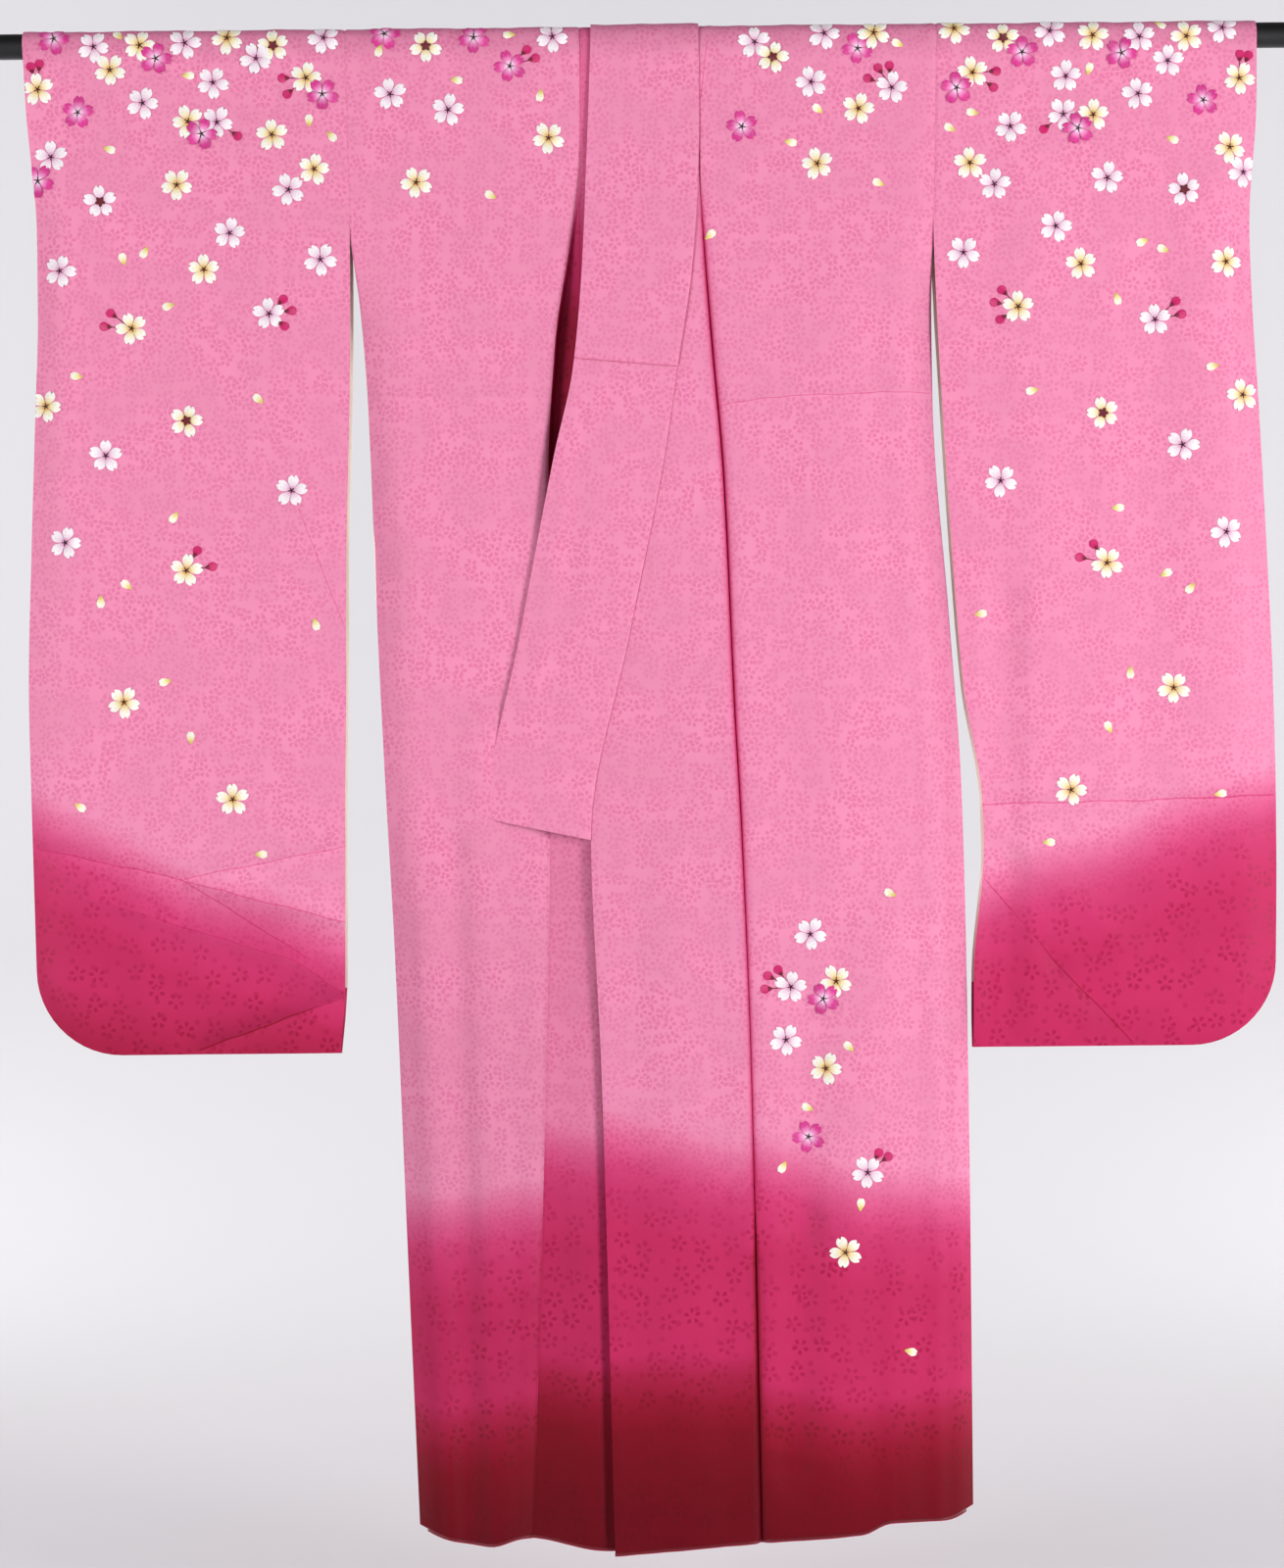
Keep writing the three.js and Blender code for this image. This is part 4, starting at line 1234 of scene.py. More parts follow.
# Woven blossoms: how far apart they are, how far out their petals' middles lie, the petals' half
# length and half width, and where the layout starts.
WEAVES = (
    (16.0, 4.7, 2.7, 1.95, (0, 0, 0)),
    (17.5, 4.7, 2.7, 1.95, (371, 143, 0)),
    (30.0, 6.2, 3.1, 2.1, (57, 91, 0)),
    (19.0, 0.0, 3.1, 2.2, (713, 29, 0)),
)


def silk_weave(shader, flat, dye_and_shade):
    """The petals' mask, smaller and closer in the pink than in the crimson."""
    small, more, large, strewn = (woven_blossoms(shader, flat, *weave) for weave in WEAVES)
    in_pink = shader.math("MAXIMUM", small, shader.math("MULTIPLY", more, 0.55))
    in_crimson = shader.math("MAXIMUM", large, shader.math("MULTIPLY", strewn, 0.6))
    crimson = shader.between(dye_and_shade, 0.1, 0.8)
    turned = shader.node("Mix", data_type="FLOAT")
    shader.set(turned.inputs[0], crimson)
    shader.set(turned.inputs[2], in_pink)
    shader.set(turned.inputs[3], in_crimson)
    return turned.outputs[0]


# Painted shade: how much dye is added on the crease lines.
CREASE_SHADE_DYE = 0.24


def crease_shade_lines(shader):
    """1 on the painted shade lines along the creases, and 0 beside them."""
    offsets = shader.node("SeparateXYZ")
    shader.set(offsets.inputs[0], shader.attribute("creases", "Vector"))
    total = 0.0
    for offset in offsets.outputs:
        line = shader.between(shader.math("ABSOLUTE", offset), 1.0, 0.15)
        total = shader.math("MAXIMUM", line, total)
    return total


def silk_material():
    shader = Shader("silk")
    flat = shader.attribute("flat", "Vector")
    lines = crease_shade_lines(shader)
    # The dye attribute holds the dye, with painted shade added in the gap, along the seam and on
    # some panels.
    dye_and_shade_before_creases = shader.attribute("dye_and_shade", "Fac")
    # Painted shade: the crease lines add dye.
    dye_and_shade = shader.math("MULTIPLY_ADD", lines, CREASE_SHADE_DYE, dye_and_shade_before_creases)
    cloud = shader.noise(flat, 60, 2)
    dye_and_shade_share = shader.math("MULTIPLY", dye_and_shade, 0.5)
    petals = silk_weave(shader, flat, dye_and_shade_before_creases)
    ground = shader.ramp(dye_and_shade_share, SILK_DYE)
    petal_shade = shader.ramp(dye_and_shade_share, PETAL_DYE)
    shown = shader.math("MULTIPLY", petals, shader.between(cloud, 0.3, 0.7, 0.36, 0.84))
    woven = shader.blend(shown, ground, petal_shade)
    soft = shader.between(cloud, 0.3, 0.7, 0.965, 1.03)
    # The tone attribute is painted light and shade; the cloud is the silk's own uneven tone.
    tone = shader.math("MULTIPLY", soft, shader.attribute("tone", "Fac"))
    shaded = shader.vector("SCALE", woven, scale=tone)

    crepe = shader.noise(flat, 0.9, 3, 0.6)
    slubs = shader.noise(shader.vector("MULTIPLY", flat, (1.0, 0.12, 1.0)), 1.6, 2)
    grain = shader.math("ADD", crepe, shader.math("MULTIPLY", slubs, 0.6))
    rippled = shader.bump(grain, 0.25, 0.5)
    relief = shader.bump(petals, 0.12, 0.6, rippled)
    gloss = shader.between(petals, 0, 1, 0.56, 0.42)
    return shader.finish(
        Base_Color=shaded,
        Roughness=gloss,
        Specular_IOR_Level=0.09,
        Sheen_Weight=0.01,
        Sheen_Roughness=0.4,
        Normal=relief,
    )


def lining_material():
    shader = Shader("lining_silk")
    flat = shader.attribute("flat", "Vector")
    dye_and_shade_share = shader.math("MULTIPLY", shader.attribute("dye_and_shade", "Fac"), 0.5)
    plain = shader.ramp(dye_and_shade_share, LINING_DYE)
    soft = shader.between(shader.noise(flat, 45, 2), 0.3, 0.7, 0.97, 1.02)
    ribs = shader.noise(shader.vector("MULTIPLY", flat, (0.2, 1.0, 1.0)), 0.8, 2)
    return shader.finish(
        Base_Color=shader.vector("SCALE", plain, scale=soft),
        Roughness=0.5,
        Specular_IOR_Level=0.3,
        Sheen_Weight=0.15,
        Normal=shader.bump(ribs, 0.15, 0.5),
    )


def hem_material():
    shader = Shader("hem_silk")
    flat = shader.attribute("flat", "Vector")
    dye_and_shade_share = shader.math("MULTIPLY", shader.attribute("dye_and_shade", "Fac"), 0.5)
    wrinkles = shader.noise(shader.vector("MULTIPLY", flat, (1.0, 0.25, 1.0)), 4, 3)
    return shader.finish(
        Base_Color=shader.ramp(dye_and_shade_share, SILK_DYE),
        Roughness=0.5,
        Specular_IOR_Level=0.35,
        Sheen_Weight=0.15,
        Normal=shader.bump(wrinkles, 0.5, 0.6),
    )


def thread_material():
    """Satin-stitched silk thread. Its stitches lie across each petal."""
    shader = Shader("silk_thread")
    stitch = shader.attribute("stitch", "Vector")
    strands = shader.node("TexWave", wave_type="BANDS", bands_direction="X")
    shader.set(strands.inputs["Vector"], stitch)
    strands.inputs["Scale"].default_value = 0.9
    strands.inputs["Distortion"].default_value = 0.8
    strands.inputs["Detail"].default_value = 1
    streaks = shader.noise(shader.vector("MULTIPLY", stitch, (1.0, 0.15, 1.0)), 0.8, 2)
    shade = shader.between(streaks, 0.3, 0.7, 0.86, 1.08)
    dyed = shader.vector("SCALE", shader.attribute("thread_colour", "Color"), scale=shade)
    return shader.finish(
        Base_Color=dyed,
        Roughness=0.4,
        Specular_IOR_Level=0.3,
        Sheen_Weight=0.05,
        Normal=shader.bump(strands.outputs["Fac"], 0.2, 0.5),
    )


def rod_material():
    shader = Shader("rod_black")
    where = shader.node("TexCoord").outputs["Object"]
    worn = shader.noise(where, 0.05, 3)
    fine = shader.noise(where, 0.0015, 2)
    return shader.finish(
        Base_Color=shader.blend(
            shader.between(worn, 0.45, 0.75), colour(14, 14, 16), colour(24, 24, 27)
        ),
        Roughness=shader.between(worn, 0.3, 0.7, 0.3, 0.42),
        Specular_IOR_Level=0.5,
        Normal=shader.bump(fine, 0.05, 0.4),
    )


# ---- Embroidery ----

# Threads by kind of blossom: at the petal's foot, its middle and its tip.
BLOSSOM_THREADS = {
    "white": (colour(222, 150, 190), colour(232, 208, 222), colour(242, 234, 238)),
    "cream": (colour(224, 172, 92), colour(236, 222, 172), colour(243, 240, 230)),
    "magenta": (colour(242, 214, 232), colour(232, 138, 192), colour(208, 48, 136)),
}
UNEVEN_THREADS = {"white": 0.04, "cream": 0.04, "magenta": 0.1}
STAMEN_THREAD = colour(62, 16, 34)
STAR_THREAD = colour(100, 10, 30)
BUD_THREADS = (colour(110, 8, 40), colour(190, 14, 90), colour(200, 26, 104))
LOOSE_THREADS = (colour(206, 190, 84), colour(232, 218, 140), colour(244, 240, 222))

BLOSSOM_RADIUS = 18.5
PETAL_WIDTH = 12.2
PETAL_NOTCH = 3.2
PETAL_RISE = 0.9
BUD_LENGTH = 13
BUD_WIDTH = 10.5
LOOSE_LENGTH = 14
LOOSE_WIDTH = 9
STAMEN_LENGTH = 3.8
STAMEN_WIDTH = 1.3
STAR_RADIUS = 6.4
CALYX = 4.5
STALK_WIDTH = 1.1
STALK_START = 0.35  # of the way from the blossom's middle to the bud
PETAL_LAP = 0.12
LAP = 0.7  # how much higher a blossom lies where it overlaps one before it
THREAD_ABOVE = 0.15  # the lowest thread stands this far off the cloth
NEAR = 30  # blossoms closer than this overlap

PETAL_ROWS = np.linspace(0, 1, 7)[:, None]
PETAL_COLUMNS = np.linspace(-1, 1, 9)
NOTCH_HALF_WIDTH = 0.38
PETAL_SHAPE = table(
    "at width", (0, 0.18), (0.25, 0.52), (0.5, 0.88), (0.72, 1.0), (0.88, 0.94), (1, 0.74)
)
petal_width = curve(PETAL_SHAPE, "width", "at")


class Stitching:
    """Collects stitched patches in the flat cloth, before they are laid on its form."""

    def __init__(self):
        self.places, self.heights, self.threads, self.stitches, self.faces = [], [], [], [], []
        self.count = 0

    def grid(self, across, along, height, thread, place, heading, lift):
        """A patch of a grid's points. Heading 0 points down the cloth."""
        across, along, height = np.broadcast_arrays(across, along, height)
        cos, sin = math.cos(heading), math.sin(heading)
        x = place[0] + across * cos + along * sin
        s = place[1] - across * sin + along * cos
        rows, columns = across.shape
        index = self.count + np.arange(rows * columns).reshape(rows, columns)
        quads = np.stack([index[:-1, :-1], index[:-1, 1:], index[1:, 1:], index[1:, :-1]], -1)
        self.places.append(np.stack([x, s], -1).reshape(-1, 2))
        self.heights.append((height + lift).ravel())
        self.threads.append(np.broadcast_to(thread, (rows, columns, 4)).reshape(-1, 4))
        self.stitches.append(np.stack([along, across, 0 * along], -1).reshape(-1, 3))
        self.faces.append(quads.reshape(-1, 4))
        self.count += rows * columns

    def petal(self, length, width, notch, foot, threads, place, heading, lift):
        """One satin-stitched petal, from its foot out to its notched tip."""
        a, b = PETAL_ROWS, PETAL_COLUMNS
        cut = np.clip(1 - np.abs(b) / NOTCH_HALF_WIDTH, 0, 1)
        rim = length - notch * cut - 0.13 * length * np.abs(b) ** 2.5
        along = foot + a * (rim - foot)
        across = b * width / 2 * petal_width(a)
        dome = np.sqrt(1 - (0.96 * b) ** 2) * (0.35 + 0.65 * np.sin(math.pi * (0.1 + 0.8 * a)))
        low, middle, high = (np.array(thread) for thread in threads)
        t = a + 0.12 * np.abs(b) - 0.06
        near = mix(low, middle, smoothstep(t, 0.05, 0.34)[..., None])
        thread = mix(near, high, smoothstep(t, 0.3, 0.72)[..., None])
        self.grid(across, along, PETAL_RISE * dome, thread, place, heading, lift)

    def line(self, start, end, width, thread, lift, rise=0.5):
        """A straight run of thread."""
        dx, ds = end[0] - start[0], end[1] - start[1]
        length = math.hypot(dx, ds)
        along = np.linspace(0, length, 4)[:, None]
        across = np.array([-0.5, 0, 0.5]) * width
        height = np.array([0, rise, 0])
        self.grid(across, along, height, np.array(thread), start, math.atan2(dx, ds), lift)

    def disc(self, radius, points, thread, place, heading, lift, rise=0.4):
        """A round knot, or a star of that many points."""
        angle = np.linspace(0, 2 * math.pi, 21)
        share = np.array([0.02, 0.5, 1.0])[:, None]
        star = 1 - 0.42 * (0.5 + 0.5 * np.cos(points * angle)) if points else 1
        across = share * radius * star * np.sin(angle)
        along = share * radius * star * np.cos(angle)
        self.grid(across, along, rise * (1 - share**2), np.array(thread), place, heading, lift)

    def lay_on(self, name, cloth, edges, material):
        """Lays what was stitched on the cloth's form, cut off at the panel's edges."""
        places = np.concatenate(self.places)
        faces = np.concatenate(self.faces)
        x, s = places.T
        low, high = edges(s)
        inside = (x > low - 1) & (x < high + 1)
        faces = faces[inside[faces].all(axis=1)]
        x = np.clip(x, low + 0.1, high - 0.1)
        step = 0.5
        across = cloth.point(x + step, s) - cloth.point(x - step, s)
        up = cloth.point(x, s - step) - cloth.point(x, s + step)
        normal = np.cross(across, up)
        normal /= np.linalg.norm(normal, axis=-1, keepdims=True)
        height = np.concatenate(self.heights) + CLOTH / 2 + THREAD_ABOVE
        vertices = cloth.point(x, s) + normal * height[:, None]
        used, faces = np.unique(faces, return_inverse=True)
        attributes = [
            ("thread_colour", "FLOAT_COLOR", np.concatenate(self.threads)[used]),
            ("stitch", "FLOAT_VECTOR", np.concatenate(self.stitches)[used]),
        ]
        faces = faces.reshape(-1, 4).tolist()
        return new_piece(name, vertices[used], faces, [material], attributes=attributes)


def vary(threads, draw, amount=0.06):
    """The same threads, a little lighter or darker."""
    factor = 1 + draw.uniform(-amount, amount)
    return [np.array(thread) * (factor, factor, factor, 1) for thread in threads]


def ahead(place, heading, reach):
    """A place that lies this far from another. Heading 0 points down the cloth."""
    return place[0] + reach * math.sin(heading), place[1] + reach * math.cos(heading)


def stitch_blossom(work, kind, place, draw, lift):
    turn = draw.uniform(0, 2 * math.pi)
    for k in range(5):
        heading = turn + k * 2 * math.pi / 5 + draw.uniform(-0.05, 0.05)
        length = BLOSSOM_RADIUS * draw.uniform(0.94, 1.04)
        plain_kind = kind.removesuffix("_star")
        threads = vary(BLOSSOM_THREADS[plain_kind], draw, UNEVEN_THREADS[plain_kind])
        petal_lift = lift + PETAL_LAP * (k % 2)
        work.petal(length, PETAL_WIDTH, PETAL_NOTCH, 1.5, threads, place, heading, petal_lift)
    if kind.endswith("star"):
        work.disc(STAR_RADIUS, 5, STAR_THREAD, place, turn, lift + 1.15)
        return
    for k in range(5):
        heading = turn + (k + 0.5) * 2 * math.pi / 5
        reach = STAMEN_LENGTH * draw.uniform(0.8, 1.1)
        tip = ahead(place, heading, reach)
        work.line(place, tip, STAMEN_WIDTH, STAMEN_THREAD, lift + 0.9, 0.4)


def stitch_bud(work, place, from_blossom, draw, lift):
    heading = math.atan2(*from_blossom)
    away = math.hypot(*from_blossom)
    start = ahead(place, heading, STALK_START * away)
    foot = ahead(place, heading, away - BUD_LENGTH / 2)
    work.line(start, foot, STALK_WIDTH, BUD_THREADS[0], lift)
    work.petal(BUD_LENGTH, BUD_WIDTH, 0.4, 0, vary(BUD_THREADS, draw), foot, heading, lift)
    work.petal(CALYX, CALYX, 0.8, 0, [BUD_THREADS[0]] * 3, foot, heading, lift + 0.7)


def stitch_loose_petal(work, place, draw):
    heading = draw.uniform(0, 2 * math.pi)
    start = ahead(place, heading, -LOOSE_LENGTH / 2)
    threads = vary(LOOSE_THREADS, draw)
    work.petal(LOOSE_LENGTH, LOOSE_WIDTH, 1.2, 0, threads, start, heading, 0)


def stitch_all(blossoms, petals, draw):
    """Blossoms as (kind, x, along, buds), and petals as (x, along)."""
    work = Stitching()
    done = []
    for kind, x, s, buds in blossoms:
        lift = LAP * sum(math.hypot(x - a, s - b) < NEAR for a, b in done)
        for bud in buds:
            stitch_bud(work, (x, s), bud, draw, lift)
        stitch_blossom(work, kind, (x, s), draw, lift)
        done.append((x, s))
    for place in petals:
        stitch_loose_petal(work, place, draw)
    return work


# Where the blossoms lie in the photo, read off on each part of the garment: kind, pixels across
# and down, and the buds' pixels.
BLOSSOM_PIXELS = {
    "sleeve_right": [
        ("magenta", 55, 40), ("white", 95, 48), ("cream", 142, 46), ("magenta", 159, 60),
        ("cream", 112, 72), ("white", 188, 44), ("cream", 232, 39), ("cream_star", 279, 47),
        ("white", 261, 60), ("white", 330, 39), ("cream", 39, 92, [(41, 67), (32, 70)]),
        ("magenta", 79, 115), ("white", 146, 105), ("white", 217, 84),
        ("cream", 312, 80, [(289, 80), (294, 96)]), ("magenta", 329, 96), ("cream", 192, 124),
        ("white", 221, 125, [(241, 139)]), ("magenta", 206, 137), ("cream", 278, 138),
        ("white", 52, 161), ("magenta", 39, 184), ("cream", 181, 189), ("white_star", 102, 206),
        ("cream", 320, 173), ("white", 295, 194), ("white", 234, 238), ("cream", 208, 275),
        ("white", 62, 277), ("white", 327, 265), ("cream", 134, 335, [(114, 320), (107, 333)]),
        ("white", 275, 321, [(289, 307), (297, 318), (290, 333)]), ("cream", 46, 414),
        ("cream_star", 190, 429), ("white", 108, 465), ("white", 298, 501), ("white", 67, 554),
        ("cream", 190, 582, [(201, 563), (216, 578)]), ("cream", 126, 716), ("cream", 237, 816),
    ],
    "sleeve_left": [
        ("cream", 973, 29), ("cream_star", 1023, 39), ("magenta", 1043, 53), ("white", 1071, 32),
        ("cream", 1114, 36), ("white", 1162, 38), ("magenta", 1144, 54), ("white", 1191, 62),
        ("cream", 1210, 37), ("white", 1247, 28), ("cream", 992, 74, [(1015, 73), (1012, 89)]),
        ("magenta", 976, 90), ("white", 1087, 78), ("cream", 1264, 80, [(1265, 57), (1273, 58)]),
        ("white", 1161, 96), ("magenta", 1227, 102), ("white", 1030, 129),
        ("white", 1085, 117, [(1066, 132)]), ("cream", 1115, 117), ("magenta", 1100, 131),
        ("cream", 989, 166), ("white", 1014, 188), ("white", 1130, 182), ("cream", 1255, 150),
        ("white", 1269, 175), ("white_star", 1208, 194), ("white", 1077, 231),
        ("cream", 1103, 269), ("white", 983, 258), ("cream", 1250, 267),
        ("cream", 1039, 313, [(1023, 297), (1016, 309), (1022, 325)]),
        ("white", 1179, 326, [(1199, 308), (1205, 321)]), ("cream", 1268, 402),
        ("cream_star", 1125, 421), ("white", 1207, 454), ("white", 1021, 490),
        ("white", 1251, 543), ("cream", 1130, 574, [(1117, 556), (1103, 569)]),
        ("cream", 1198, 702), ("cream", 1093, 806),
    ],
    "body_right": [
        ("cream_star", 434, 47), ("white", 398, 96), ("white", 457, 112),
        ("magenta", 520, 67, [(536, 51), (545, 59)]), ("white", 563, 37), ("cream", 560, 141),
        ("cream", 425, 186), ("magenta", 483, 38), ("magenta", 392, 34),
    ],
    "body_left": [
        ("white", 770, 42), ("cream_star", 789, 58), ("white", 841, 33), ("magenta", 875, 48),
        ("cream", 892, 33), ("white", 828, 83),
        ("white", 910, 89, [(887, 80), (897, 70), (908, 68)]), ("cream", 876, 110),
        ("magenta", 757, 129), ("cream", 834, 167),
    ],
    "skirt_left": [
        ("white", 827, 953), ("cream", 853, 1001),
        ("white", 807, 1007, [(785, 996), (795, 990), (782, 1009)]), ("magenta", 840, 1019),
        ("white", 802, 1061), ("cream", 843, 1090), ("magenta", 825, 1160),
        ("white", 885, 1195, [(896, 1176), (905, 1180)]), ("cream", 862, 1276),
    ],
}
PETAL_PIXELS = {
    "sleeve_right": [
        (120, 36), (192, 77), (112, 153), (315, 123), (339, 139), (125, 264), (147, 257),
        (172, 312), (78, 384), (264, 407), (177, 528), (128, 597), (103, 614), (322, 637),
        (168, 696), (194, 753), (82, 824), (266, 872),
    ],
    "sleeve_left": [
        (1184, 24), (1111, 70), (992, 115), (969, 131), (1196, 142), (1165, 247), (1186, 254),
        (1140, 305), (1052, 399), (1236, 374), (1141, 518), (1191, 585), (1215, 600), (1001, 626),
        (1154, 686), (1131, 742), (1246, 810), (1071, 859),
    ],
    "body_right": [
        (386, 52), (519, 35), (466, 82), (551, 97), (500, 199),
    ],
    "body_left": [
        (916, 43), (834, 111), (807, 145), (896, 187),
    ],
    "okumi_left": [
        (725, 239),
    ],
    "skirt_left": [
        (908, 911), (866, 1068), (824, 1130), (798, 1191), (877, 1228), (929, 1379),
    ],
}
# About how far out those parts stand, and the panels that have more parts than one.
PARTS_OUT = {
    "sleeve_right": 15,
    "sleeve_left": 15,
    "body_right": 17,
    "body_left": 20,
    "okumi_left": 24,
    "skirt_left": 37,
}
PARTS = {"body_left": ("body_left", "okumi_left", "skirt_left")}
BACK_JITTER = 9


def blossoms_on(panel):
    """Blossoms as (kind, x, drop, buds' places from the blossom), in whole millimetres."""
    blossoms = []
    for part in PARTS.get(panel, (panel,)):
        out = PARTS_OUT[part]
        for kind, across, down, *buds in BLOSSOM_PIXELS.get(part, ()):
            x, drop = from_photo(across, down, out)
            bud_places = [from_photo(*bud, out) for bud in (buds[0] if buds else ())]
            away = [(round(bud_x - x), round(bud_drop - drop)) for bud_x, bud_drop in bud_places]
            blossoms.append((kind, round(x), round(drop), away))
    return blossoms


def petals_on(panel):
    """Loose petals as (x, drop), in whole millimetres."""
    parts = PARTS.get(panel, (panel,))
    places = (from_photo(*pixel, PARTS_OUT[part]) for part in parts for pixel in PETAL_PIXELS[part])
    return [(round(x), round(drop)) for x, drop in places]


def behind(x, drop, draw):
    """A place on the back, across from one on the other side's front."""
    return (
        -x + draw.uniform(-BACK_JITTER, BACK_JITTER),
        over_back(max(drop, 6) + draw.uniform(0, BACK_JITTER)),
    )


def embroider(panel, edges, material):
    """The front's blossoms, and on the back ones laid out as on the other side's front."""
    draw = random.Random(panel)
    other = panel.replace("right", "*").replace("left", "right").replace("*", "left")
    blossoms = blossoms_on(panel)
    for kind, x, drop, buds in blossoms_on(other):
        turned = [(-dx, -ds) for dx, ds in buds]
        blossoms.append((kind, *behind(x, drop, draw), turned))
    petals = petals_on(panel) + [behind(x, drop, draw) for x, drop in petals_on(other)]
    work = stitch_all(blossoms, petals, draw)
    return work.lay_on("embroidery_" + panel, hang[panel], edges, material)


def drop_at(along):
    return np.where(along >= 0, along, np.maximum(over_back(0) - along, 0))


def sleeve_span(name):
    def span(along):
        ends = cuff[name](drop_at(along)), furi(name, drop_at(along))
        return np.minimum(*ends), np.maximum(*ends)

    return span


def body_span(name):
    def span(along):
        drop = drop_at(along)
        inner = np.where(along >= 0, okumi_seam[name](drop), centre_back(drop))
        beside_neck = (along < 0) & (along > over_back(NECK_BACK_DROP))
        inner = np.where(beside_neck, okumi_seam[name](0), inner)
        ends = side[name](drop), inner
        return np.minimum(*ends), np.maximum(*ends)

    return span


# ---- The scene ----

silk = silk_material()
lining = lining_material()
hem_silk = hem_material()
thread = thread_material()

made = {}
for name in SIDES:
    made["body_" + name] = body_panel(name, [silk, lining])
    made["okumi_" + name] = okumi(name, [silk, lining])
    made["sleeve_" + name] = sleeve(name, [silk, lining])
    made["sleeve_lining_" + name] = sleeve_lining(name, [lining])
collar_strips = {
    "collar_right": ("right", under_collar_out, 0, COLLAR_END, [silk, lining]),
    "collar_left": ("left", left_collar_out, COLLAR_PLY, COLLAR_END, [silk, lining]),
    "over_collar": ("left", over_collar_out, 2 * COLLAR_PLY, OVER_COLLAR_END, [silk]),
}
for piece, strip in collar_strips.items():
    made[piece] = collar_strip(piece, *strip)

for name in SIDES:
    mirror = MIRROR[name]
    edge = float(side[name](NOMINAL_HEM)) - mirror * HEM_ROLL_END
    seam = float(okumi_seam[name](NOMINAL_HEM))
    free = float(collar_seam[name](NOMINAL_HEM))
    centre = float(centre_back(NOMINAL_HEM))
    rolls = {
        "body": (edge, seam, front_hem[name], panel_out[name], "front"),
        "okumi": (seam, free, front_hem[name], okumi_out[name], "front"),
        "back": (edge, centre, hem["back"], back_out(name), "back"),
    }
    for part, (start, end, *form) in rolls.items():
        piece = f"hem_{part}_{name}"
        made[piece] = hem_roll(piece, *sorted((start, end)), *form, hem_silk)

# A slot name, by how a node's name starts, and silk for the rest.
SLOTS = {"hem": "hem_silk", "sleeve_lining": "lining"}

for node, piece in made.items():
    piece.name = "cloth_" + node
    slot = next((SLOTS[start] for start in SLOTS if node.startswith(start)), "silk")
    stand_for(piece, slot, node)

embroidery = {}
for name in SIDES:
    embroidery["sleeve_" + name] = embroider("sleeve_" + name, sleeve_span(name), thread)
    embroidery["body_" + name] = embroider("body_" + name, body_span(name), thread)
for piece in embroidery.values():
    stand_for(piece, "embroidery")

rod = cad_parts["rod"]
rod.data.materials.clear()
rod.data.materials.append(rod_material())

# ---- A pass over the pieces that changes nothing ----


def declare(node):
    kind = node.removesuffix("_right").removesuffix("_left")
    if kind.startswith("hem"):
        return


for node, piece in made.items():
    declare(node)

# ---- Camera, light and background ----

SENSOR = 36

camera_data = bpy.data.cameras.new("camera")
camera_data.sensor_width = SENSOR
camera_data.lens = SENSOR * CAMERA_DISTANCE / (2 * PHOTO_MIDDLE[1] * MM_PER_PX)
camera = bpy.data.objects.new("camera", camera_data)
camera.location = [value * MM for value in CAMERA_PLACE]
camera.rotation_euler = (math.radians(90), CAMERA_ROLL, 0)
bpy.context.scene.collection.objects.link(camera)
bpy.context.scene.camera = camera

FLOOR_DROP = 1800
FLOOR_RADIUS = 2600
SWEEP_RADIUS = 6000
WALL_TOP = 6500
ROUND_STEPS = 96
BACKDROP_GLOW = 0.1


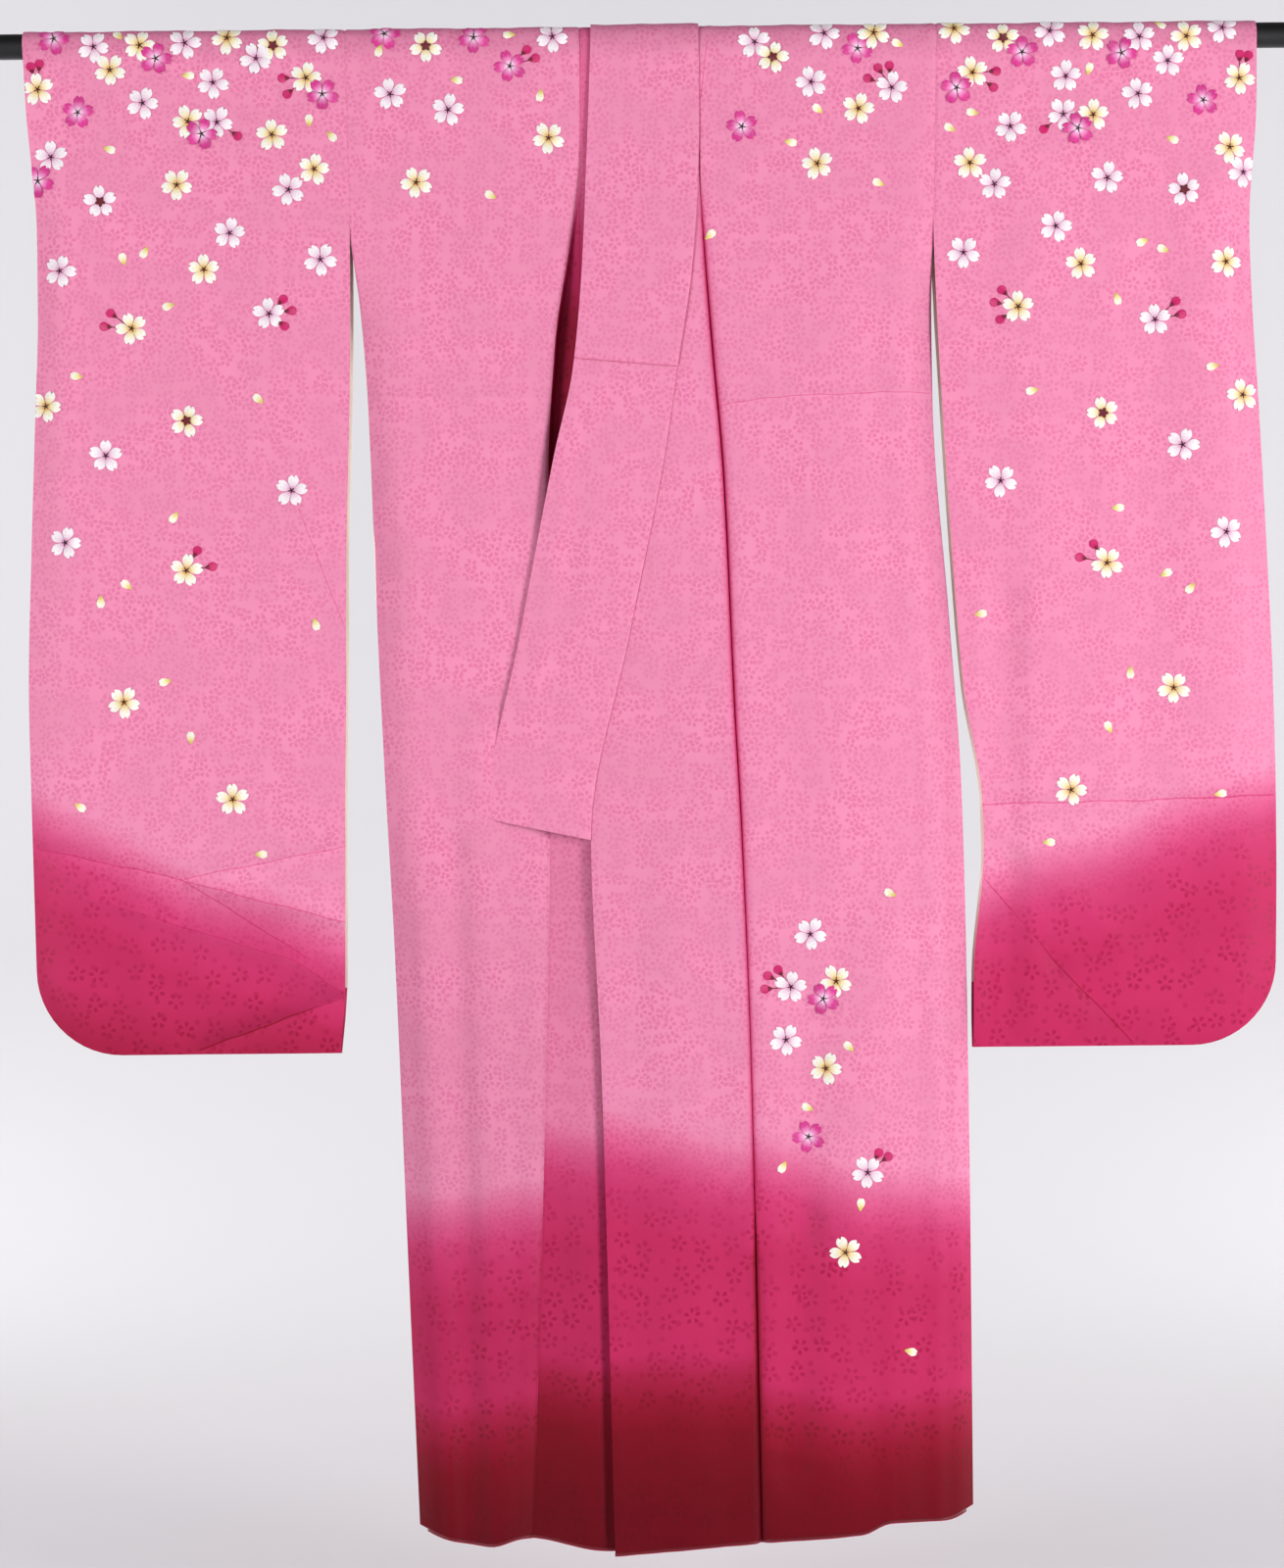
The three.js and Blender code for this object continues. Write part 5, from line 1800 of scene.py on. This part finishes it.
def backdrop():
    """A round pale floor that sweeps up into a wall all around, open at the top."""
    angles = np.linspace(0, math.pi / 2, 32)
    reach = np.concatenate([[1], FLOOR_RADIUS + SWEEP_RADIUS * np.sin(angles)])
    height = np.concatenate([[0], SWEEP_RADIUS * (1 - np.cos(angles))]) - FLOOR_DROP
    reach = np.append(reach, reach[-1])[:, None]
    height = np.append(height, WALL_TOP)[:, None]
    turn = np.linspace(0, 2 * math.pi, ROUND_STEPS, endpoint=False)
    ring = np.stack(
        np.broadcast_arrays(reach * np.cos(turn), reach * np.sin(turn), height), -1
    ).reshape(-1, 3)
    index = np.arange(len(ring)).reshape(-1, ROUND_STEPS)
    beside = np.roll(index, -1, axis=1)
    faces = np.stack([index[:-1], beside[:-1], beside[1:], index[1:]], -1).reshape(-1, 4)
    shader = Shader("pale_backdrop")
    shader.finish(
        Base_Color=colour(188, 187, 190),
        Roughness=0.9,
        Specular_IOR_Level=0.1,
        Emission_Color=colour(252, 250, 252),
        Emission_Strength=BACKDROP_GLOW,
    )
    new_piece("backdrop", ring, faces.tolist(), [shader.material])


backdrop()


def softbox(name, place, aim, size, power):
    """A soft lamp, in metres and watts. It gives light and isn't seen itself."""
    data = bpy.data.lights.new(name, "AREA")
    data.shape = "RECTANGLE"
    data.size, data.size_y = size
    data.energy = power
    lamp = bpy.data.objects.new(name, data)
    lamp.location = place
    direction = np.array(aim) - np.array(place)
    flat_reach = math.hypot(direction[0], direction[1])
    lamp.rotation_euler = (
        math.pi / 2 + math.atan2(direction[2], flat_reach),
        0,
        math.atan2(direction[1], direction[0]) - math.pi / 2,
    )
    lamp.visible_camera = False
    bpy.context.scene.collection.objects.link(lamp)


MIDDLE = (0, 0, -0.85)
softbox("key", place=(3.1, -2.7, -0.6), aim=MIDDLE, size=(1.1, 1.7), power=130)
softbox("fill", place=(-3.1, -2.9, -0.25), aim=(0, 0, -0.55), size=(1.3, 1.7), power=97)
for side_x in (-3.2, 3.2):
    softbox("behind", place=(side_x, 3.0, -0.3), aim=MIDDLE, size=(1.4, 1.8), power=55)
    wash_place = (side_x * 1.4, 2.4, 3.0)
    softbox("backdrop_light", place=wash_place, aim=(0, 7.5, 0.9), size=(2, 2), power=285)

world = bpy.data.worlds.new("studio")
world.use_nodes = True
world.node_tree.nodes["Background"].inputs["Color"].default_value = (1.0, 0.97, 0.95, 1)
world.node_tree.nodes["Background"].inputs["Strength"].default_value = 0.12
bpy.context.scene.world = world
bpy.context.scene.view_settings.view_transform = "Standard"
